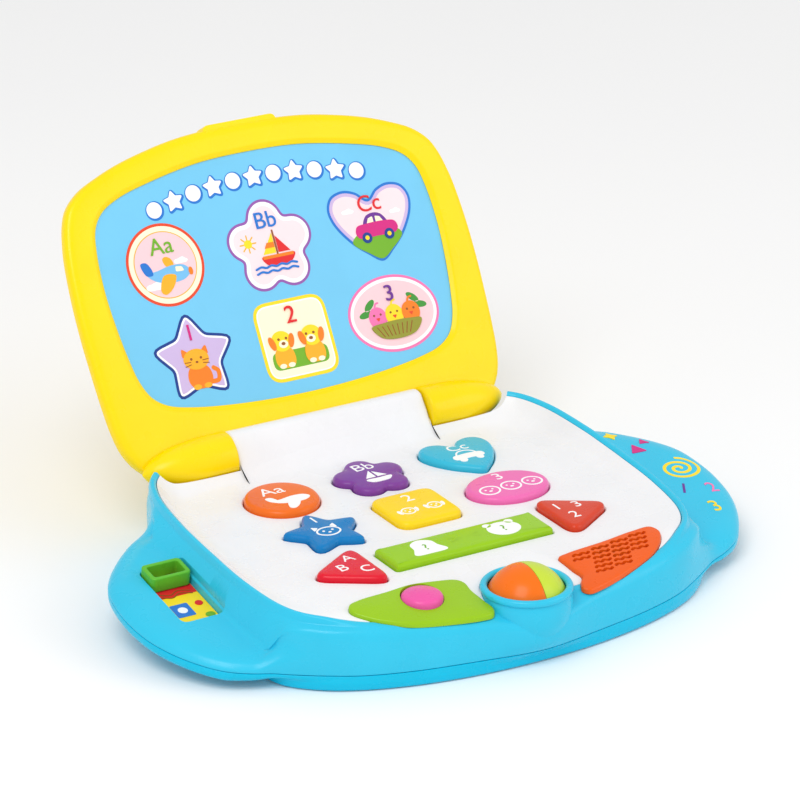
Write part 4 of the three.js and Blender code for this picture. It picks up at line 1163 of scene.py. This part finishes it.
def button_prints(shapes):
    """White prints on the buttons' tops."""
    def outlined(loop, width=1.0):
        return [loop, grown(loop, -width)[::-1]]

    plane = [ink_loops[0] for _, ink_loops in aeroplane()]
    boat = [loops for _, loops in sailing_boat()]
    car = [loops for _, loops in little_car()]
    heads = []
    for x in (-12.5, 0, 12.5):
        heads += at_scale(outlined(disc(0, 0, 11.5, 10.5)), 1, (x, -3.6))
        heads += [disc(x - 2, -2.6, 1.2), disc(x + 2, -2.6, 1.2), disc(x, -4.6, 2, 1.4)]
    dog = at_scale(outlined(disc(0, 0, 9, 8.4), 0.9), 1)
    dog += [disc(-5.2, 0, 2.4, 5.4, 0.25), disc(5.2, 0, 2.4, 5.4, -0.25), disc(-1.6, 0.8, 1.1),
            disc(1.6, 0.8, 1.1), disc(0, -1.4, 1.7, 1.2)]
    cat = outlined(disc(0, 0, 14, 10.6), 1.0)
    cat += [rounded([(-6.8, 2.6), (-3.4, 5.6), (-6.6, 8.2)], 0.5, 3),
            rounded([(6.8, 2.6), (6.6, 8.2), (3.4, 5.6)], 0.5, 3),
            disc(-2.6, 0.8, 1.5), disc(2.6, 0.8, 1.5), disc(0, -1.4, 1.9, 1.3)]
    bell = splined([(-5.4, -3.6), (-4, 0), (-3.4, 3.4), (0, 5.4), (3.4, 3.4), (4, 0), (5.4, -3.6),
                    (0, -4.2)], 60)
    prints = {
        "circle": [glyphs("Aa", 12.5, (-2, 7.4)), at_scale([plane[1]], 0.78, (2.4, -6)),
                   at_scale([plane[2]], 0.78, (2.4, -6)), at_scale([plane[3]], 0.78, (2.4, -7.4))],
        "flower": [glyphs("Bb", 11.5, (0, 9)), at_scale(boat[1], 0.72, (0.4, -6)),
                   at_scale(boat[3], 0.72, (0.4, -6)), at_scale(boat[4], 0.72, (0.4, -6.8))],
        "heart": [glyphs("Cc", 10.5, (0, 7.4)),
                  at_scale(outlined(car[0][0], 1.3), 0.72, (0, -4.6)), at_scale(car[2], 0.72, (0, -4.6)),
                  at_scale(car[3], 0.72, (0, -5.6))],
        "star": [glyphs("1", 10, (0, 11.6)), at_scale(cat, 0.95, (0, -3.4))],
        "square": [glyphs("2", 11.5, (0, 8.6)), at_scale(dog, 0.9, (-7.6, -5)),
                   at_scale(dog, 0.9, (7.6, -5))],
        "oval": [glyphs("3", 11, (0, 9.2)), heads],
        "triangle_left": [glyphs("A", 10, (2.2, 8.2)), glyphs("B", 10, (-5.6, -0.6)),
                          glyphs("C", 10, (4.6, -6.8))],
        "triangle_right": [glyphs("1", 10, (-5.4, 5.6)), glyphs("3", 10, (5.2, 3.6)),
                           glyphs("2", 10, (-2.4, -6.6))],
        "bar": [at_scale([bell], 1.7, (-22.5, -0.6)),
                [disc(22.5, -0.6, 18, 15), disc(16.2, 5.6, 4.6), disc(28.8, 5.6, 4.6)]],
    }
    for key, layers in prints.items():
        at = BUTTONS[key][0]
        items = [("white", loops) for loops in layers]
        if key == "bar":
            items += [("green", glyphs("?", 9, (x, -0.8))) for x in (-22.5, 22.5)]
        printed("print_" + key, "key_" + key, BUTTON_SLOT[key], on_top(shapes[key], at), items, 2.5)


def wing_prints(shell):
    """Small shapes and digits on the right wing."""
    turns = np.linspace(0, 4.4 * np.pi, 60)
    spiral = np.stack([(1.2 + 0.78 * turns) * np.cos(turns), (1.0 + 0.66 * turns) * np.sin(turns)], axis=1)
    place = on_top(shell)
    printed("print_wing", "base", "blue", place, [
        ("yellow", [stroke(spiral, 1.8, False) + np.array((153.5, -8.5))]),
        ("purple", glyphs("1", 13, (144.4, -26.4), -0.5)),
        ("pink", glyphs("2", 12, (159.4, -30))), ("yellow", glyphs("3", 13, (150.7, -46))),
        ("magenta", [star(5.4, 2.7, 3, (142.6, 15), 0.6), star(3.6, 1.8, 3, (150.5, 21.5), 0.4)]),
        ("yellow", [star(4.6, 2.3, 4, (137, 32), 0.5)])], 2.0)


def slider_print():
    """Picture on the card under the sliding ring."""
    def place(points, lift):
        x, y = points.T
        return tilted(np.stack([x, y, np.full(len(x), -4.7 + lift)], axis=1), SLOT_TILT, SLOT_AT)

    swirl = [stroke([(-8, 4 - k), (-3, 2 - k), (2, 4.4 - k), (8, 2.4 - k)], 0.6) for k in (0, 2.4)]
    printed("print_slider", "base", "card", place, [
        ("yellow", [rectangle(21.6, 46.6, at=(0, -3))]), ("red", [rectangle(21.6, 20, at=(0, 10.3))]),
        ("yellow", [star(7.4, 3.7, at=(0, 14), radius=0.8)]),
        ("blue", [rectangle(9.6, 11, 0.8, (-3.6, -12))]), ("white", [disc(-3.6, -12, 5)]),
        ("brown", swirl), ("green", [disc(7.4, -20, 5, 4)]), ("red", [disc(6.8, -9, 4)])])


# ---------------------------------------------------------------- small parts


def pan_screw(x, y, head, tip, thick):
    """Pan-head screw with a cross recess, standing up from its head."""
    shape = turned([(0, head), (1.9, head + 0.05), (2.7, head + 0.6), (2.7, head + thick),
                    (1.3, head + thick), (1.3, tip - 0.8), (0, tip)], "z", (x, y, 0), 40)
    recess = [block((x - w, x + w), (y - d, y + d), (head - 1, head + 0.7))
              for w, d in ((1.7, 0.35), (0.35, 1.7))]
    return without(shape, *recess)


def lid_screw(x, z):
    shape = turned([(0, 5.4), (1.3, 6.2), (1.3, 11.8), (2.7, 11.8), (2.7, 12.8), (1.9, 13.35),
                    (0, 13.4)], "y", (x, 0, z), 40)
    recess = [block((x - w, x + w), (12.7, 15), (z - d, z + d)) for w, d in ((1.7, 0.35), (0.35, 1.7))]
    return in_lid(without(shape, *recess))


def slider_ring():
    outer = rectangle(21.4, 14, 2.6, (0, 13.4))
    inner = rectangle(17, 9.6, 1.6, (0, 13.4))
    rings = [flat(outer, -4.1), flat(outer, 3.6), flat(inner, 3.6), flat(inner, -4.1)]
    return in_slot(loft(rings, [0.4, 0.7, 0.7, 0.4], loop=True))


def ball_half(side):
    half = block((0.15, 40), (-150, -60), (-10, 60)) if side > 0 else \
        block((-40, -0.15), (-150, -60), (-10, 60))
    dome = without(globe(BALL_RADIUS, BALL, 128), globe(BALL_RADIUS - 2, BALL, 64))
    joined(dome, rod(4.6, "x", BALL, (-19, 19)))
    combined(dome, [half], "INTERSECT")
    return without(dome, rod(2.3, "x", BALL, (-30, 30)))


def pad_body(side):
    """Front pad with a softly rounded top edge."""
    return loft(pad_rings(side, 0, (-0.7, 0.9, 1.5, 1.85, 2.0), (0, 0, 0.25, 0.7, 1.3)))


def front_pad():
    pad = pad_body(-1)
    return without(pad, prism(ellipse(PINK_WINDOW, at=PINK_AT), 20, 50))


def speaker_grille():
    """Speaker cover with rows of wavy slots through it."""
    pad = pad_body(1)
    slots = []
    for row, y in enumerate((-86.6, -90, -93.4, -96.8, -100.2, -103.6)):
        for x in (-15.5, -3.5, 8.5, 20):
            wave = [(SPEAKER[0] + x - 1.6 * row + s, y + 0.12 * x + 0.5 * math.sin(1.5 * s))
                    for s in np.linspace(-4.6, 4.6, 15)]
            if all(inside(np.array(wave[::7]), [grown(splined(RIGHT_PAD, 120), -3)])):
                slots.append(prism(stroke(wave, 1.7, False)[::-1], 20, 50))
    return without(pad, *slots)


def power_switch():
    x, y = SWITCH
    ridges = [block((x - 4.6 + 1.2 * k, x - 4.1 + 1.2 * k), (y - 2.3, y + 2.3), (-0.2, 0.7))
              for k in range(4)]
    thumb = block((x - 5.4, x - 0.4), (y - 2.1, y + 2.1), (0.3, 3.5))
    return without(joined(thumb, block((x - 9.4, x + 3.6), (y - 4, y + 4), (2.8, 7))), *ridges)


def battery_door():
    shape = prism(door_outline(0), 0.2, 2.2)
    arrow = [(30, 34.6), (38, 34.6), (38, 32), (43, 36), (38, 40), (38, 37.4), (30, 37.4)]
    grips = [block((66 + 2.4 * k, 67 + 2.4 * k), (20, 52), (-1, 0.6)) for k in range(4)]
    return without(shape, rod(1.7, "z", (*DOOR_SCREW, 0), (0, 3)),
                   rod(3.1, "z", (*DOOR_SCREW, 0), (0, 1.6)), prism(np.array(arrow), -1, 0.6), *grips)


# ---------------------------------------------------------------- assembly

shell = piece(upper_shell(), "shell_upper", "base", "blue", PLASTIC["blue"], ["upper_shell"])
for made, name, body_name, slot, material, node in (
        (lower_shell(), "shell_lower", "base", "blue_dark", PLASTIC["deep_blue"], "lower_shell"),
        (keyboard_panel(), "panel_white", "base", "white", PLASTIC["white"], "keyboard_panel"),
        (lid_frame(), "lid_front", "lid", "yellow", PLASTIC["yellow"], "lid_frame"),
        (lid_back_cover(), "lid_rear", "lid", "yellow", PLASTIC["yellow"], "lid_back_cover"),
        (screen_card(), "lid_card", "lid", "card", INK["sky"], "screen_card"),
        (front_pad(), "pad_left", "base", "lime", PLASTIC["pad_lime"], "front_pad"),
        (speaker_grille(), "pad_speaker", "base", "orange", PLASTIC["pad_orange"], "speaker_grille"),
        (ball_half(-1), "ball_left", "ball", "orange", PLASTIC["ball_orange"], "ball_half_orange"),
        (ball_half(1), "ball_right", "ball", "lime", PLASTIC["ball_lime"], "ball_half_lime"),
        (slider_ring(), "ring_green", "slider", "green", PLASTIC["green"], "slider_ring"),
        (battery_door(), "door_battery", "base", "blue_dark", PLASTIC["deep_blue"], "battery_door"),
        (power_switch(), "switch_thumb", "switch", "black", PLASTIC["black"], "power_switch")):
    piece(made, name, body_name, slot, material, [node])

caps = {}
for key, (at, outline, shade) in BUTTONS.items():
    caps[key] = piece(button(outline, at, 30.9, 38.7), "cap_" + key, "key_" + key, BUTTON_SLOT[key],
                      PLASTIC[shade], ["button_" + key])
piece(button(ellipse(20.9, count=96), PINK_AT, 26.9, 39.4, 3.0, 1.2), "cap_pink", "key_pink", "pink",
      PLASTIC["hot_pink"], ["button_pink"])



def fixing(screw, name, body_name):
    piece(screw, "fixing_" + name, body_name, "steel", STEEL, [name])


for i, (x, y) in enumerate(CASE_SCREWS):
    fixing(pan_screw(x, y, 9.9, 22, 1.6), "case_screw_%d" % (i + 1), "base")
for i, (x, z) in enumerate(LID_SCREWS):
    fixing(lid_screw(x, z), "lid_screw_%d" % (i + 1), "lid")
fixing(pan_screw(*DOOR_SCREW, 0.3, 9, 1), "door_screw", "base")

lid_pictures()
button_prints(caps)
wing_prints(shell)
slider_print()

INNER = {
    "slider_card": CARD, "main_board": BOARD, "contact_mat": RUBBER,
    "speaker_driver": PLASTIC["black"], "ball_axle": STEEL, "hinge_pin_left": STEEL,
    "hinge_pin_right": STEEL, "battery_spring_strip": STEEL, "battery_plate_strip": STEEL,
    "battery_1": CELL, "battery_2": CELL, "battery_3": CELL}
for name, material in INNER.items():
    for material_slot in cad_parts[name].material_slots:
        material_slot.material = material

# ---------------------------------------------------------------- stage


def backdrop(rgb):
    """Pale matt floor, faintly uneven."""
    material = surface("floor", rgb, 0.9, 0.0, cloud=1.2, grain=200, relief=0.01, shift=0.01)
    size = 6000.0
    floor = new_object([(-size, -size, 0), (size, -size, 0), (size, size, 0), (-size, size, 0)],
                       [(0, 1, 2, 3)], "floor")
    floor.data.materials.append(material)


def area_light(name, place, aim, size, power):
    light = bpy.data.lights.new(name, "AREA")
    light.size = size
    light.energy = power
    lamp = placed(name, light)
    lamp.location = place
    lamp.rotation_mode = "QUATERNION"
    lamp.rotation_quaternion = (Vector(aim) - Vector(place)).to_track_quat("-Z", "Y")


def camera(azimuth, elevation, target, distance, lens, shift):
    a, e = math.radians(azimuth), math.radians(elevation)
    back = Vector((math.sin(a) * math.cos(e), -math.cos(a) * math.cos(e), math.sin(e)))
    data = bpy.data.cameras.new("camera")
    data.lens = lens
    data.sensor_width = 36
    data.shift_x, data.shift_y = shift
    data.clip_start = 0.1
    data.clip_end = 50
    obj = placed("camera", data)
    obj.location = Vector(target) + back * distance
    obj.rotation_mode = "QUATERNION"
    obj.rotation_quaternion = (-back).to_track_quat("-Z", "Y")
    bpy.context.scene.camera = obj


backdrop((250, 250, 250))
world = bpy.data.worlds.new("studio")
world.use_nodes = True
set_inputs(world.node_tree.nodes["Background"], Color=(1, 1, 1, 1), Strength=0.76)
bpy.context.scene.world = world
area_light("key", (-0.9, -0.7, 1.6), (0, 0, 0.05), 1.0, 13.5)
area_light("fill", (1.3, -1.2, 0.9), (0, 0, 0.08), 1.2, 6)
camera(-30.5618, 22.6944, (0.064422, 0.126942, 0.035), 2.38918, 202.5, (0.0027, 0.0016))
bpy.context.scene.view_settings.view_transform = "Standard"
